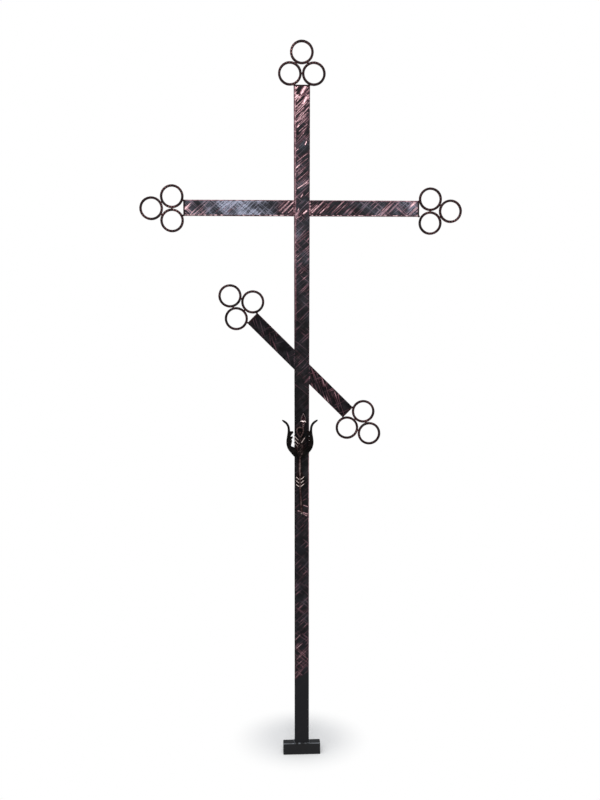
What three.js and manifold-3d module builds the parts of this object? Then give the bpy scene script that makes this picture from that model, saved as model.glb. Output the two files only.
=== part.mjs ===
// A forged iron grave cross: a hammered tube post with a level crossbar and a slanted footrest bar, three
// rings at each of the five free ends, a forged flower on the front and a short foot across the bottom.
// Millimetres, +Z up. The front looks along -Y, and the origin is the middle of the foot's underside.

import Module from "manifold-3d";
import * as THREE from "three";
import { mergeVertices } from "three/addons/utils/BufferGeometryUtils.js";

const wasm = await Module();
wasm.setup();

// Left free between two pieces that are welded together.
const jointGap = 0.3;

// The bars are drawn from one rectangular tube.
const tubeWidth = 40;
const tubeDepth = 20;
const tubeWall = 2;
const tubeCorner = 3;
const boreCorner = 1;
const capThickness = 4;

// The foot, a solid bar laid across under the post.
const footWidth = 105;
const footDepth = 26;
const footHeight = 34;
const footCorner = 2.5;

// The post. Hammering has spread it towards its upper end.
const postTop = 1850;
const postTopWidth = 43;
const postSpreadStart = 960;
const plainLength = 232;

// The level crossbar, two arms welded to the post's sides.
const crossbarHeight = 1531;
const crossbarReach = 315;
const crossbarWidth = 42;

// The slanted footrest bar, high on the left and low on the right.
const footrestHeight = 1110;
const footrestShift = -4;
const footrestReach = 183;
const footrestWidth = 39;
const footrestSlant = 44.8;

// The chisel strokes over the front and back of the bars.
const strokePitch = 33;
const strokeDepth = 0.9;
const strokeSlant = 48;
const strokeFade = 62;

// The rings, bent from square bar, and how low two of the trefoils hang on their arms.
const ringBore = 49;
const ringWall = 7;
const ringDepth = 8;
const ringFacets = 24;
const leftTrefoilDrop = 1.5;
const rightTrefoilDrop = 6;

// The flower. Heights are above its base, and its axis stands this far in front of the post.
const flowerBase = 857;
const flowerShift = -6;
const flowerForward = 9;
const bulbRadius = 15.5;
const bulbForward = 8.5;
const bulbHeight = 38;

// Its two side petals.
const petalThickness = 6.4;
const hornThickness = 5.2;
const petalBelly = 34;
const petalNeck = 30.6;
const petalTip = 48.5;
const petalTipHeight = 105.5;
const petalHalfWidth = 5;
const petalCupWidth = 10.5;
const petalToothWidth = 9;
const petalToothLean = 8;
const petalTeeth = 3;
const petalCupDepth = 14.3;

// The feather in the middle, its barbs and its eye.
const featherForward = 9;
const featherHeight = 62;
const featherHalfWidth = 9;
const featherThickness = 4;
const featherCupDepth = 1.6;
const barbLength = 20;
const barbWidth = 4;
const barbThickness = 3;
const barbTurn = 42;
const barbPitch = 9.5;
const barbCount = 4;
const barbStart = 22.2;
const eyeHeight = 73;
const eyeHalfHeight = 13.5;
const eyeSpread = 12.5;
const eyeRim = 1.7;
const eyeBead = 2.6;

// The trumpet behind the eye and the pointed petal that rises out of it.
const trumpetShift = 9;
const trumpetRoot = 22;
const trumpetNeck = 4.5;
const trumpetBase = 82;
const trumpetTop = 101;
const trumpetRadius = 7;
const spearWidth = 15;
const spearHeight = 25;
const spearThickness = 4;
const lipRadius = 2.6;

// The stem that hangs from the flower, its fletched leaf and its tail.
const stemDiameter = 7;
const stemSides = 8;
const stemLength = 36;
const leafLength = 46;
const tailLength = 75;
const leafHalfWidth = 10;
const leafThickness = 3;
const fletchLength = 14;
const fletchWidth = 3.4;
const fletchTurn = 58;
const fletchStart = 3;
const fletchPitch = 10.5;
const fletchPairs = 3;
const tailShift = 5;

const radians = THREE.MathUtils.degToRad;
const quarterTurn = Math.PI / 2;
const barPlane = (tubeDepth - footDepth) / 2;
const frontPlane = barPlane - tubeDepth / 2;

const finishes = {
  forged: { color: 0x2b2729, roughness: 0.48, metalness: 0.85 },
  painted: { color: 0x1d1d1f, roughness: 0.55, metalness: 0.3 },
  rings: { color: 0x241d1b, roughness: 0.55, metalness: 0.8 },
  flower: { color: 0x2a2322, roughness: 0.5, metalness: 0.85 },
};

function piece(name, geometry, finish) {
  const mesh = new THREE.Mesh(geometry, new THREE.MeshStandardMaterial(finishes[finish]));
  mesh.name = name;
  return mesh;
}

// Corner points of loops that all have the same count become one closed skin. Each loop runs
// anticlockwise seen from the side that the loops advance to.
function skin(loops, joins) {
  const count = loops[0].length;
  const triangles = [];
  for (const [from, to] of joins) {
    for (let j = 0; j < count; j += 1) {
      const next = (j + 1) % count;
      const a = from * count + j;
      const b = from * count + next;
      const c = to * count + next;
      const d = to * count + j;
      triangles.push(a, b, c, a, c, d);
    }
  }
  const geometry = new THREE.BufferGeometry();
  const values = loops.flat().flatMap((p) => [p.x, p.y, p.z]);
  geometry.setAttribute("position", new THREE.Float32BufferAttribute(values, 3));
  geometry.setIndex(triangles);
  geometry.computeVertexNormals();
  return geometry;
}

// A solid through a row of flat loops, each end closed strip by strip across the loop.
function loft(loops) {
  const count = loops[0].length;
  const last = (loops.length - 1) * count;
  const geometry = skin(loops, loops.slice(1).map((_, i) => [i, i + 1]));
  const triangles = Array.from(geometry.index.array);
  for (let j = 0; j < count / 2 - 1; j += 1) {
    const k = count - 1 - j;
    triangles.push(j, k, j + 1);
    triangles.push(j + 1, k, k - 1);
    triangles.push(last + j, last + j + 1, last + k);
    triangles.push(last + j + 1, last + k - 1, last + k);
  }
  geometry.setIndex(triangles);
  return geometry;
}

// A loop of bar that closes on itself.
function closedLoop(loops) {
  return skin(loops, loops.map((_, i) => [i, (i + 1) % loops.length]));
}

function toSolid(geometry) {
  const bare = geometry.clone();
  bare.deleteAttribute("normal");
  bare.deleteAttribute("uv");
  const merged = mergeVertices(bare, 1e-4);
  return new wasm.Manifold(new wasm.Mesh({
    numProp: 3,
    vertProperties: new Float32Array(merged.attributes.position.array),
    triVerts: new Uint32Array(merged.index.array),
  }));
}

// All the shapes joined into one body.
function join(geometries) {
  const whole = geometries.map(toSolid).reduce((sum, next) => sum.add(next));
  const mesh = whole.getMesh();
  const geometry = new THREE.BufferGeometry();
  geometry.setAttribute("position", new THREE.BufferAttribute(mesh.vertProperties.slice(), 3));
  geometry.setIndex(new THREE.BufferAttribute(mesh.triVerts.slice(), 1));
  geometry.computeVertexNormals();
  return geometry;
}

// A rectangle with rounded corners, three points to a corner. face is 1 on the front and back.
function roundedSection(width, depth, radius) {
  const corners = [[1, -1, -90], [1, 1, 0], [-1, 1, 90], [-1, -1, 180]];
  return corners.flatMap(([sideX, sideY, start]) => [0, 45, 90].map((step) => {
    const angle = radians(start + step);
    return {
      x: sideX * (width / 2 - radius) + radius * Math.cos(angle),
      y: sideY * (depth / 2 - radius) + radius * Math.sin(angle),
      face: Math.abs(Math.sin(angle)),
    };
  }));
}

function plate(width, depth, radius, thickness) {
  const points = roundedSection(width, depth, radius).map((p) => new THREE.Vector2(p.x, p.y));
  return new THREE.ExtrudeGeometry(new THREE.Shape(points), { depth: thickness, bevelEnabled: false });
}

// The rows of a forged bar from start to end: every second row is the bottom of a chisel stroke, and
// the rows lean with the strokes, easing to the slope of the cut at either end.
function strokeRows(start, end, forgedStart, startSlope) {
  const rows = [{ z: start, slope: startSlope, dip: 0 }];
  if (forgedStart > start) {
    rows.push({ z: forgedStart, slope: 0, dip: 0 });
  }
  const strokes = Math.max(1, Math.round((end - forgedStart) / strokePitch));
  const pitch = (end - forgedStart) / strokes;
  const lean = Math.tan(radians(strokeSlant));
  const cutSlope = forgedStart > start ? 0 : startSlope;
  for (let i = 0; i < strokes; i += 1) {
    for (const part of [0.5, 1]) {
      const along = (i + part) * pitch;
      const toEnd = end - forgedStart - along;
      if (toEnd > pitch / 4) {
        const shift = part < 1 ? 0.12 * pitch * Math.sin(2.4 * i) : 0;
        const eased = Math.min(1, along / strokeFade, toEnd / strokeFade);
        const cut = cutSlope * Math.max(0, 1 - along / strokeFade);
        const dip = part < 1 ? strokeDepth * (0.8 + 0.2 * Math.cos(1.7 * i)) : 0;
        rows.push({ z: forgedStart + along + shift * eased, slope: cut + lean * eased, dip });
      }
    }
  }
  rows.push({ z: end, slope: 0, dip: 0 });
  return rows;
}

// A hammered tube along +Z with an even bore, open at both ends.
function forgedTube({ start, end, forgedStart = start, startSlope = 0, widthAt }) {
  const outer = strokeRows(start, end, forgedStart, startSlope).map(({ z, slope, dip }) => {
    const section = roundedSection(widthAt(z), tubeDepth, tubeCorner);
    return section.map((p) => {
      const y = p.y - Math.sign(p.y) * dip * p.face;
      return new THREE.Vector3(p.x, y, z + slope * p.x);
    });
  });
  const bore = roundedSection(tubeWidth - 2 * tubeWall, tubeDepth - 2 * tubeWall, boreCorner);
  const inner = [[end, 0], [start, startSlope]].map(([z, slope]) =>
    bore.map((p) => new THREE.Vector3(p.x, p.y, z + slope * p.x)));
  const loops = [...outer, ...inner];
  return skin(loops, loops.map((_, i) => [i, (i + 1) % loops.length]));
}

// The post widens evenly from the height where its spread starts up to its end.
function postWidthAt(height) {
  const share = THREE.MathUtils.clamp((height - postSpreadStart) / (postTop - postSpreadStart), 0, 1);
  return tubeWidth + (postTopWidth - tubeWidth) * share;
}

function makeFoot() {
  const foot = piece("foot", plate(footDepth, footHeight, footCorner, footWidth), "painted");
  foot.rotation.set(quarterTurn, 0, quarterTurn, "ZXY");
  foot.position.set(-footWidth / 2, 0, footHeight / 2);
  return foot;
}

function makePost() {
  const start = footHeight + jointGap;
  const end = postTop - capThickness - jointGap;
  const geometry = forgedTube({ start, end, forgedStart: plainLength, widthAt: postWidthAt });
  const post = piece("post", geometry, "forged");
  post.position.y = barPlane;
  return post;
}

// One arm along its own +Z, which the group turns by `turn` from upright, clockwise seen from the
// front. Its inner end is cut to the side of the post that it is welded to.
function makeArm(name, { shift, height, turn, reach, width }) {
  const sin = Math.sin(turn);
  const cos = Math.cos(turn);
  const side = Math.sign(sin);
  const span = width / 2 / Math.abs(sin) + Math.abs(tubeWidth * cos / sin);
  const seat = postWidthAt(height + span) / 2 + jointGap;
  const group = new THREE.Group();
  const geometry = forgedTube({
    start: (side * seat - shift) / sin,
    end: reach - capThickness - jointGap,
    startSlope: -cos / sin,
    widthAt: () => width,
  });
  const cap = piece(`${name}_cap`, plate(width, tubeDepth, tubeCorner, capThickness), "forged");
  cap.position.z = reach - capThickness;
  group.add(piece(name, geometry, "forged"), cap);
  group.rotation.y = turn;
  group.position.set(shift, barPlane, height);
  return group;
}

// Three rings at a bar's end: one at the tip and a pair that touches the corners of the end.
function makeTrefoil(names, { shift = 0, height, turn, reach, width, drop = 0 }) {
  const outer = ringBore / 2 + ringWall;
  const half = ringDepth / 2;
  const profile = [[ringBore / 2, -half], [outer, -half], [outer, half], [ringBore / 2, half],
    [ringBore / 2, -half]].map(([r, y]) => new THREE.Vector2(r, y));
  const across = outer + jointGap / 2;
  const inside = across - drop - width / 2;
  const seat = Math.sqrt((outer + jointGap) ** 2 - inside ** 2);
  const tip = seat + Math.sqrt(3) * across;
  const places = [[0, tip], [-across, seat], [across, seat]];
  const group = new THREE.Group();
  places.forEach(([x, z], i) => {
    const ring = piece(names[i], new THREE.LatheGeometry(profile, ringFacets), "rings");
    ring.position.set(x + drop * Math.sin(turn), 0, reach + z);
    group.add(ring);
  });
  group.rotation.y = turn;
  group.position.set(shift, barPlane, height);
  return group;
}

// A leaf of sheet along a midrib in the XZ plane, which curls away from the axis and thins out to its
// edges. rows gives, for a share of the midrib, the half width, how far the edges lean on along it and
// the thickness. The edges bend towards the axis by the square of their width, by cup.depth where they
// are cup.half wide, and stay off the post.
function leaf(midrib, rows, cup) {
  const shares = [-1, -0.5, 0, 0.5, 1];
  const edgeThinning = 0.4;
  const loops = rows.map(([share, half, lean, thickness]) => {
    const place = midrib.getPointAt(share);
    const tangent = midrib.getTangentAt(share);
    const outward = new THREE.Vector3(tangent.z, 0, -tangent.x);
    const skinAt = (s) => thickness / 2 * (1 - edgeThinning * s * s);
    const point = (s, side) => place.clone()
      .add(new THREE.Vector3(0, THREE.MathUtils.clamp(half * s, -flowerForward, flowerForward), 0))
      .addScaledVector(outward, side * skinAt(s) - cup.depth * (half * s / cup.half) ** 2)
      .addScaledVector(tangent, lean * s * s);
    return [...shares.map((s) => point(s, 1)), ...shares.toReversed().map((s) => point(s, -1))];
  });
  return loft(loops);
}

function curveThrough(places) {
  return new THREE.CatmullRomCurve3(places.map(([r, z]) => new THREE.Vector3(r, 0, z)));
}

// One of the two side petals, seen edge on from the front: a cupped root, sharp teeth along both
// edges and a horn that curls out.
function sidePetal() {
  const midrib = curveThrough([
    [0.08, 0.015], [0.38, 0.06], [0.63, 0.15], [0.87, 0.25], [0.98, 0.35], [1, 0.44], [0.97, 0.53],
  ].map(([r, z]) => [petalBelly * r, petalTipHeight * z]).concat([
    [1.01, 0.66], [1, 0.76], [1.05, 0.84], [1.22, 0.92],
  ].map(([r, z]) => [petalNeck * r, petalTipHeight * z]), [[petalTip, petalTipHeight]]));
  const rows = [[0, petalHalfWidth], [0.12, petalCupWidth * 0.9], [0.22, petalCupWidth]]
    .map(([share, half]) => [share, half, 0, petalThickness]);
  const toothStart = 0.34;
  const toothShare = 0.12;
  for (let i = 0; i < petalTeeth; i += 1) {
    const from = toothStart + i * toothShare;
    const shrink = 1 - 0.1 * i;
    rows.push([from, petalHalfWidth * shrink, 0, petalThickness]);
    rows.push([from + toothShare * 0.35, petalToothWidth * shrink, petalToothLean, petalThickness]);
    rows.push([from + toothShare * 0.7, petalHalfWidth * shrink, 0, petalThickness]);
  }
  const neckShare = toothStart + petalTeeth * toothShare;
  for (const step of [0.1, 0.4, 0.6, 0.8, 1]) {
    const half = petalHalfWidth * (0.55 - 0.2 * step);
    rows.push([neckShare + (1 - neckShare) * step, half, 0, hornThickness * (1 - 0.3 * step)]);
  }
  return leaf(midrib, rows, { depth: petalCupDepth, half: petalCupWidth });
}

// A pointed barb from its root, leaning by `turn` degrees from upright, clockwise seen from the front.
function barb(length, width, thickness, turn, x, y, z) {
  const shape = new THREE.ConeGeometry(width / Math.SQRT2, length, 4);
  shape.rotateY(Math.PI / 4);
  shape.scale(1, 1, thickness / width);
  shape.translate(0, length / 2, 0);
  shape.rotateX(quarterTurn);
  shape.rotateY(radians(turn));
  shape.translate(x, y, z);
  return shape;
}

// The middle petal is a feather: a spine with barbs in pairs under its eye.
function featherPetal() {
  const midrib = curveThrough([[0.2, 0.03], [1.1, 0.26], [1.2, 0.58], [1, 1]]
    .map(([y, z]) => [featherForward * y, featherHeight * z]));
  const rows = [[0, 0.35], [0.25, 0.8], [0.5, 1], [0.75, 0.75], [1, 0.35]]
    .map(([share, width]) => [share, featherHalfWidth * width, 0, featherThickness]);
  const spine = leaf(midrib, rows, { depth: featherCupDepth, half: featherHalfWidth });
  spine.rotateZ(-quarterTurn);
  const shapes = [spine];
  for (let i = 0; i < barbCount; i += 1) {
    for (const side of [-1, 1]) {
      const x = side * barbWidth;
      const z = barbStart + i * barbPitch;
      shapes.push(barb(barbLength, barbWidth, barbThickness, side * barbTurn, x, -featherForward, z));
    }
  }
  return shapes;
}

// The pear-shaped rim of the eye, narrow at its foot, with a bead on a thin plate in it.
function featherEye() {
  const steps = 16;
  const sides = 6;
  const loops = Array.from({ length: steps }, (_, i) => {
    const angle = 2 * Math.PI * i / steps;
    const across = new THREE.Vector3(Math.sin(angle), 0, Math.cos(angle));
    const x = eyeSpread * Math.sin(angle) * (0.66 + 0.34 * Math.cos(angle));
    const place = new THREE.Vector3(x, -featherForward, eyeHeight + eyeHalfHeight * Math.cos(angle));
    return Array.from({ length: sides }, (_side, k) => {
      const turn = 2 * Math.PI * k / sides;
      return place.clone()
        .addScaledVector(across, eyeRim * Math.cos(turn))
        .add(new THREE.Vector3(0, -eyeRim * Math.sin(turn), 0));
    });
  });
  const plateRadius = eyeSpread * 0.66;
  const back = new THREE.CylinderGeometry(plateRadius, plateRadius, eyeRim, 12);
  back.scale(1, 1, eyeHalfHeight / plateRadius * 0.85);
  back.translate(0, eyeRim / 2 - featherForward, eyeHeight + eyeRim / 2);
  const bead = new THREE.SphereGeometry(eyeBead, 6, 4);
  bead.translate(0, -featherForward, eyeHeight);
  return [closedLoop(loops), back, bead];
}

// A trumpet on a thin neck from the bulb, two beads on its lip and a pointed petal rising out of it.
function spearPetal() {
  const half = spearWidth / 2;
  const outline = new THREE.Shape([
    [-half * 0.4, -lipRadius], [half * 0.4, -lipRadius], [half, 0], [half * 0.45, spearHeight * 0.5],
    [0, spearHeight], [-half * 0.45, spearHeight * 0.5], [-half, 0],
  ].map(([x, y]) => new THREE.Vector2(x, y)));
  const spear = new THREE.ExtrudeGeometry(outline, { depth: spearThickness, bevelEnabled: false });
  spear.rotateX(quarterTurn);
  spear.translate(trumpetShift, spearThickness / 2, trumpetTop);
  const root = new THREE.Vector3(trumpetShift / 4, 0, trumpetRoot);
  const neckTop = new THREE.Vector3(trumpetShift, 0, trumpetBase + trumpetNeck / 4);
  const neck = rod(root, neckTop, trumpetNeck);
  const trumpet = new THREE.CylinderGeometry(trumpetRadius, trumpetNeck / 2, trumpetTop - trumpetBase, 10);
  trumpet.rotateX(quarterTurn);
  trumpet.translate(trumpetShift, 0, (trumpetTop + trumpetBase) / 2);
  const lips = [-1, 1].map((side) => {
    const lip = new THREE.SphereGeometry(lipRadius, 8, 4);
    lip.scale(1.4, 1, 0.9);
    lip.translate(trumpetShift + side * lipRadius, -trumpetRadius + lipRadius, trumpetTop);
    return lip;
  });
  return [spear, neck, trumpet, ...lips];
}

function makeFlower() {
  const bulb = new THREE.SphereGeometry(1, 12, 8);
  bulb.rotateX(quarterTurn);
  bulb.scale(bulbRadius, bulbForward, bulbHeight / 2);
  bulb.translate(0, flowerForward - bulbForward, bulbHeight / 2);
  const right = sidePetal();
  const left = sidePetal();
  left.rotateZ(Math.PI);
  const geometry = join([bulb, right, left, ...featherPetal(), ...featherEye(), ...spearPetal()]);
  const flower = piece("flower", geometry, "flower");
  flower.position.set(flowerShift, frontPlane - jointGap - flowerForward, flowerBase);
  return flower;
}

// A round bar between two points.
function rod(from, to, diameter) {
  const section = new THREE.Shape();
  section.absarc(0, 0, diameter / 2, 0, 2 * Math.PI);
  const points = section.getPoints(stemSides / 2);
  const path = new THREE.LineCurve3(from, to);
  return new THREE.ExtrudeGeometry(new THREE.Shape(points), { steps: 1, extrudePath: path });
}

function makeStem() {
  const half = stemDiameter / 2;
  const leafTop = -stemLength;
  const leafBottom = leafTop - leafLength;
  const top = new THREE.Vector3(0, 0, -jointGap);
  const knot = new THREE.Vector3(0, 0, leafTop);
  const base = new THREE.Vector3(tailShift / 5, 0, leafBottom);
  const tail = new THREE.Vector3(tailShift, 0, leafBottom - tailLength + half);
  const tailEnd = new THREE.SphereGeometry(half, 8, 6);
  tailEnd.translate(tail.x, 0, tail.z);
  const outline = new THREE.Shape([
    [0, 0], [leafHalfWidth, -leafLength * 0.4], [leafHalfWidth * 0.8, -leafLength],
    [0, -leafLength * 1.05], [-leafHalfWidth * 0.8, -leafLength], [-leafHalfWidth, -leafLength * 0.4],
  ].map(([x, y]) => new THREE.Vector2(x, y)));
  const blade = new THREE.ExtrudeGeometry(outline, { depth: leafThickness, bevelEnabled: false });
  blade.rotateX(quarterTurn);
  blade.translate(0, leafThickness / 2, leafTop + half);
  const shapes = [rod(top, knot, stemDiameter), rod(knot, base, stemDiameter * 0.8),
    rod(base, tail, stemDiameter), tailEnd, blade];
  for (let i = 0; i < fletchPairs; i += 1) {
    for (const side of [-1, 1]) {
      const x = side * fletchWidth / 3;
      const y = -leafThickness / 2;
      const z = leafBottom + fletchStart + i * fletchPitch;
      shapes.push(barb(fletchLength, fletchWidth, fletchWidth, side * fletchTurn, x, y, z));
    }
  }
  const stem = piece("stem", join(shapes), "flower");
  stem.position.set(flowerShift, frontPlane - jointGap - half, flowerBase);
  return stem;
}

const crossbar = { shift: 0, height: crossbarHeight, reach: crossbarReach, width: crossbarWidth };
const footrest = {
  shift: footrestShift,
  height: footrestHeight,
  reach: footrestReach,
  width: footrestWidth,
};
const topEnd = { height: 0, turn: 0, reach: postTop, width: postTopWidth };
const highTurn = radians(footrestSlant) - quarterTurn;
const lowTurn = radians(footrestSlant) + quarterTurn;

const cross = new THREE.Group();
const topCap = piece("top_cap", plate(postTopWidth, tubeDepth, tubeCorner, capThickness), "forged");
topCap.position.set(0, barPlane, postTop - capThickness);
cross.add(makeFoot(), makePost(), topCap);
cross.add(makeArm("left_arm", { ...crossbar, turn: -quarterTurn }));
cross.add(makeArm("right_arm", { ...crossbar, turn: quarterTurn }));
cross.add(makeArm("footrest_high_arm", { ...footrest, turn: highTurn }));
cross.add(makeArm("footrest_low_arm", { ...footrest, turn: lowTurn }));
cross.add(makeTrefoil(["top_ring_tip", "top_ring_left", "top_ring_right"], topEnd));
cross.add(makeTrefoil(["left_ring_tip", "left_ring_lower", "left_ring_upper"],
  { ...crossbar, turn: -quarterTurn, drop: leftTrefoilDrop }));
cross.add(makeTrefoil(["right_ring_tip", "right_ring_upper", "right_ring_lower"],
  { ...crossbar, turn: quarterTurn, drop: rightTrefoilDrop }));
cross.add(makeTrefoil(["high_ring_tip", "high_ring_lower", "high_ring_upper"],
  { ...footrest, turn: highTurn }));
cross.add(makeTrefoil(["low_ring_tip", "low_ring_upper", "low_ring_lower"],
  { ...footrest, turn: lowTurn }));
cross.add(makeFlower(), makeStem());

export default cross;
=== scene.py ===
import math

import bpy
import numpy as np
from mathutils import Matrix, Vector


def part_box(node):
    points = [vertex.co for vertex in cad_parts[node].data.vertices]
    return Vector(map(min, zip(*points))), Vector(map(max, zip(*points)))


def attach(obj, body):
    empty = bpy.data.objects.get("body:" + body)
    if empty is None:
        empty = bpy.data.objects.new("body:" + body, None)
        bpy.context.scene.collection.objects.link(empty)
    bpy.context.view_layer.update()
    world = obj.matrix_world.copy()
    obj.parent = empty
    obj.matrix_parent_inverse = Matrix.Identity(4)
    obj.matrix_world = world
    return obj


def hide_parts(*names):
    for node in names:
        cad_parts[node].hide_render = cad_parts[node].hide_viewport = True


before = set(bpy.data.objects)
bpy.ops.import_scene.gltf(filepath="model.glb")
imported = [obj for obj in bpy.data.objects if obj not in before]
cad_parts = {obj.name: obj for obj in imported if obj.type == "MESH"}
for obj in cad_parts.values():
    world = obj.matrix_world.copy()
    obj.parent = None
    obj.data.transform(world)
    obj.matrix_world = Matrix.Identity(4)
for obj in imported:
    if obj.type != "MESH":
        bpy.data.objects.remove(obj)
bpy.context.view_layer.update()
print("frame loaded:", len(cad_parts), "nodes")

cameraValues = {
    "place": (-0.140, -2.582, 1.310),  # metres, a standing viewer's eye a little to the left
    "tiltDown": 6.514,  # degrees
    "turnRight": 3.0,
    "lens": 42.75,  # mm on a 36 mm sensor
}


def makeCamera(values):
    lens = bpy.data.cameras.new("viewer")
    lens.lens = values["lens"]
    lens.sensor_width = 36
    camera = bpy.data.objects.new("viewer", lens)
    camera.location = values["place"]
    camera.rotation_euler = (
        math.radians(90 - values["tiltDown"]), 0, math.radians(-values["turnRight"]))
    bpy.context.scene.collection.objects.link(camera)
    bpy.context.scene.camera = camera


makeCamera(cameraValues)


# a colour typed as sRGB hex, turned to linear light
def linearColour(hexCode):
    channels = [int(hexCode[i:i + 2], 16) / 255 for i in (1, 3, 5)]
    return tuple(c / 12.92 if c <= 0.04045 else ((c + 0.055) / 1.055) ** 2.4
                 for c in channels) + (1.0,)


# adds a shader node: settings are its own properties, inputs are values or the sockets linked to
# them, and out names the output that is handed back
def addNode(tree, kind, out, inputs=None, **settings):
    node = tree.nodes.new("ShaderNode" + kind)
    for name, value in settings.items():
        setattr(node, name, value)
    for name, value in (inputs or {}).items():
        if isinstance(value, bpy.types.NodeSocket):
            tree.links.new(value, node.inputs[name])
        else:
            node.inputs[name].default_value = value
    return node.outputs[out] if out is not None else node


def newMaterial(name):
    material = bpy.data.materials.new(name)
    material.use_nodes = True
    material.node_tree.nodes.clear()
    return material, material.node_tree


# the finishes that each piece carries on its points: copper on the burrs, thin copper, bare steel
# with a painted sheen of reflected light (on the enamel a painted highlight) and plain tube
finishNames = ("ridge", "patina", "rubbed", "plain")


# Mild steel tube, hammered and chiselled, blackened all over and then rubbed with copper patina. It
# gives the eye an almost black ground, fine dusty pink file marks that turn pale on the proudest
# burrs, the palest partly as painted glints, and blue-grey where the steel is rubbed bare, partly a
# painted sheen of reflected light.
forgedValues = {
    "scaleColour": "#0a0809",
    "scalePatchColour": "#1d1a1c",
    "plainColour": "#19191b",  # the smooth tube below the hammered stretch
    "bareSteelAndSheenColour": "#797c8b",
    "copperColour": "#744c55",
    "paleCopperAndGlintColour": "#edc8cb",
    "scaleRoughness": 0.5,
    "copperRoughness": 0.42,
    "grainSize": 3.0,  # mm, the pits of the forge scale
    "markWidth": 3.3,  # mm between the file marks, coarse enough to show
    "markLength": 60.0,
    "markTurn": 43.0,  # degrees, rising to the right
    "crossTurn": -40.0,
    # the marks each way: how much the attribute adds to the noise, the noise that a mark starts at
    # and is full at, and how strong it gets
    "steelMarks": ((0.2, 0.6, 0.72, 0.75), (0.2, 0.62, 0.74, 0.65)),
    "copperMarks": ((0.16, 0.62, 0.7, 1.0), (0.14, 0.64, 0.72, 0.7)),
    "patchSpan": (0.46, 0.7),  # the noise over which black scale turns to its patches
    "veilShare": 0.2,  # of the bare steel between its marks
    "thinCopper": (0.75, 0.06),  # what the patina adds, and a little everywhere
    # the grain from and to, and how much copper it leaves on the burrs
    "speckleSpan": (0.3, 0.6, 0.6, 1.1),
    # the palest copper also stands in for glints: a painted highlight on the proudest burrs and
    # edges
    "paleSpan": (0.24, 0.88),  # the thickness over which copper turns pale
    "coverSpan": (0.05, 0.5),  # and over which it hides the ground
    "metalShare": 0.7,
    "gloss": 0.06,
    "scratchDepth": 1.5,  # of the file marks, against the grain's
    "bumpHeight": 0.3,  # mm
}


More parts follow.
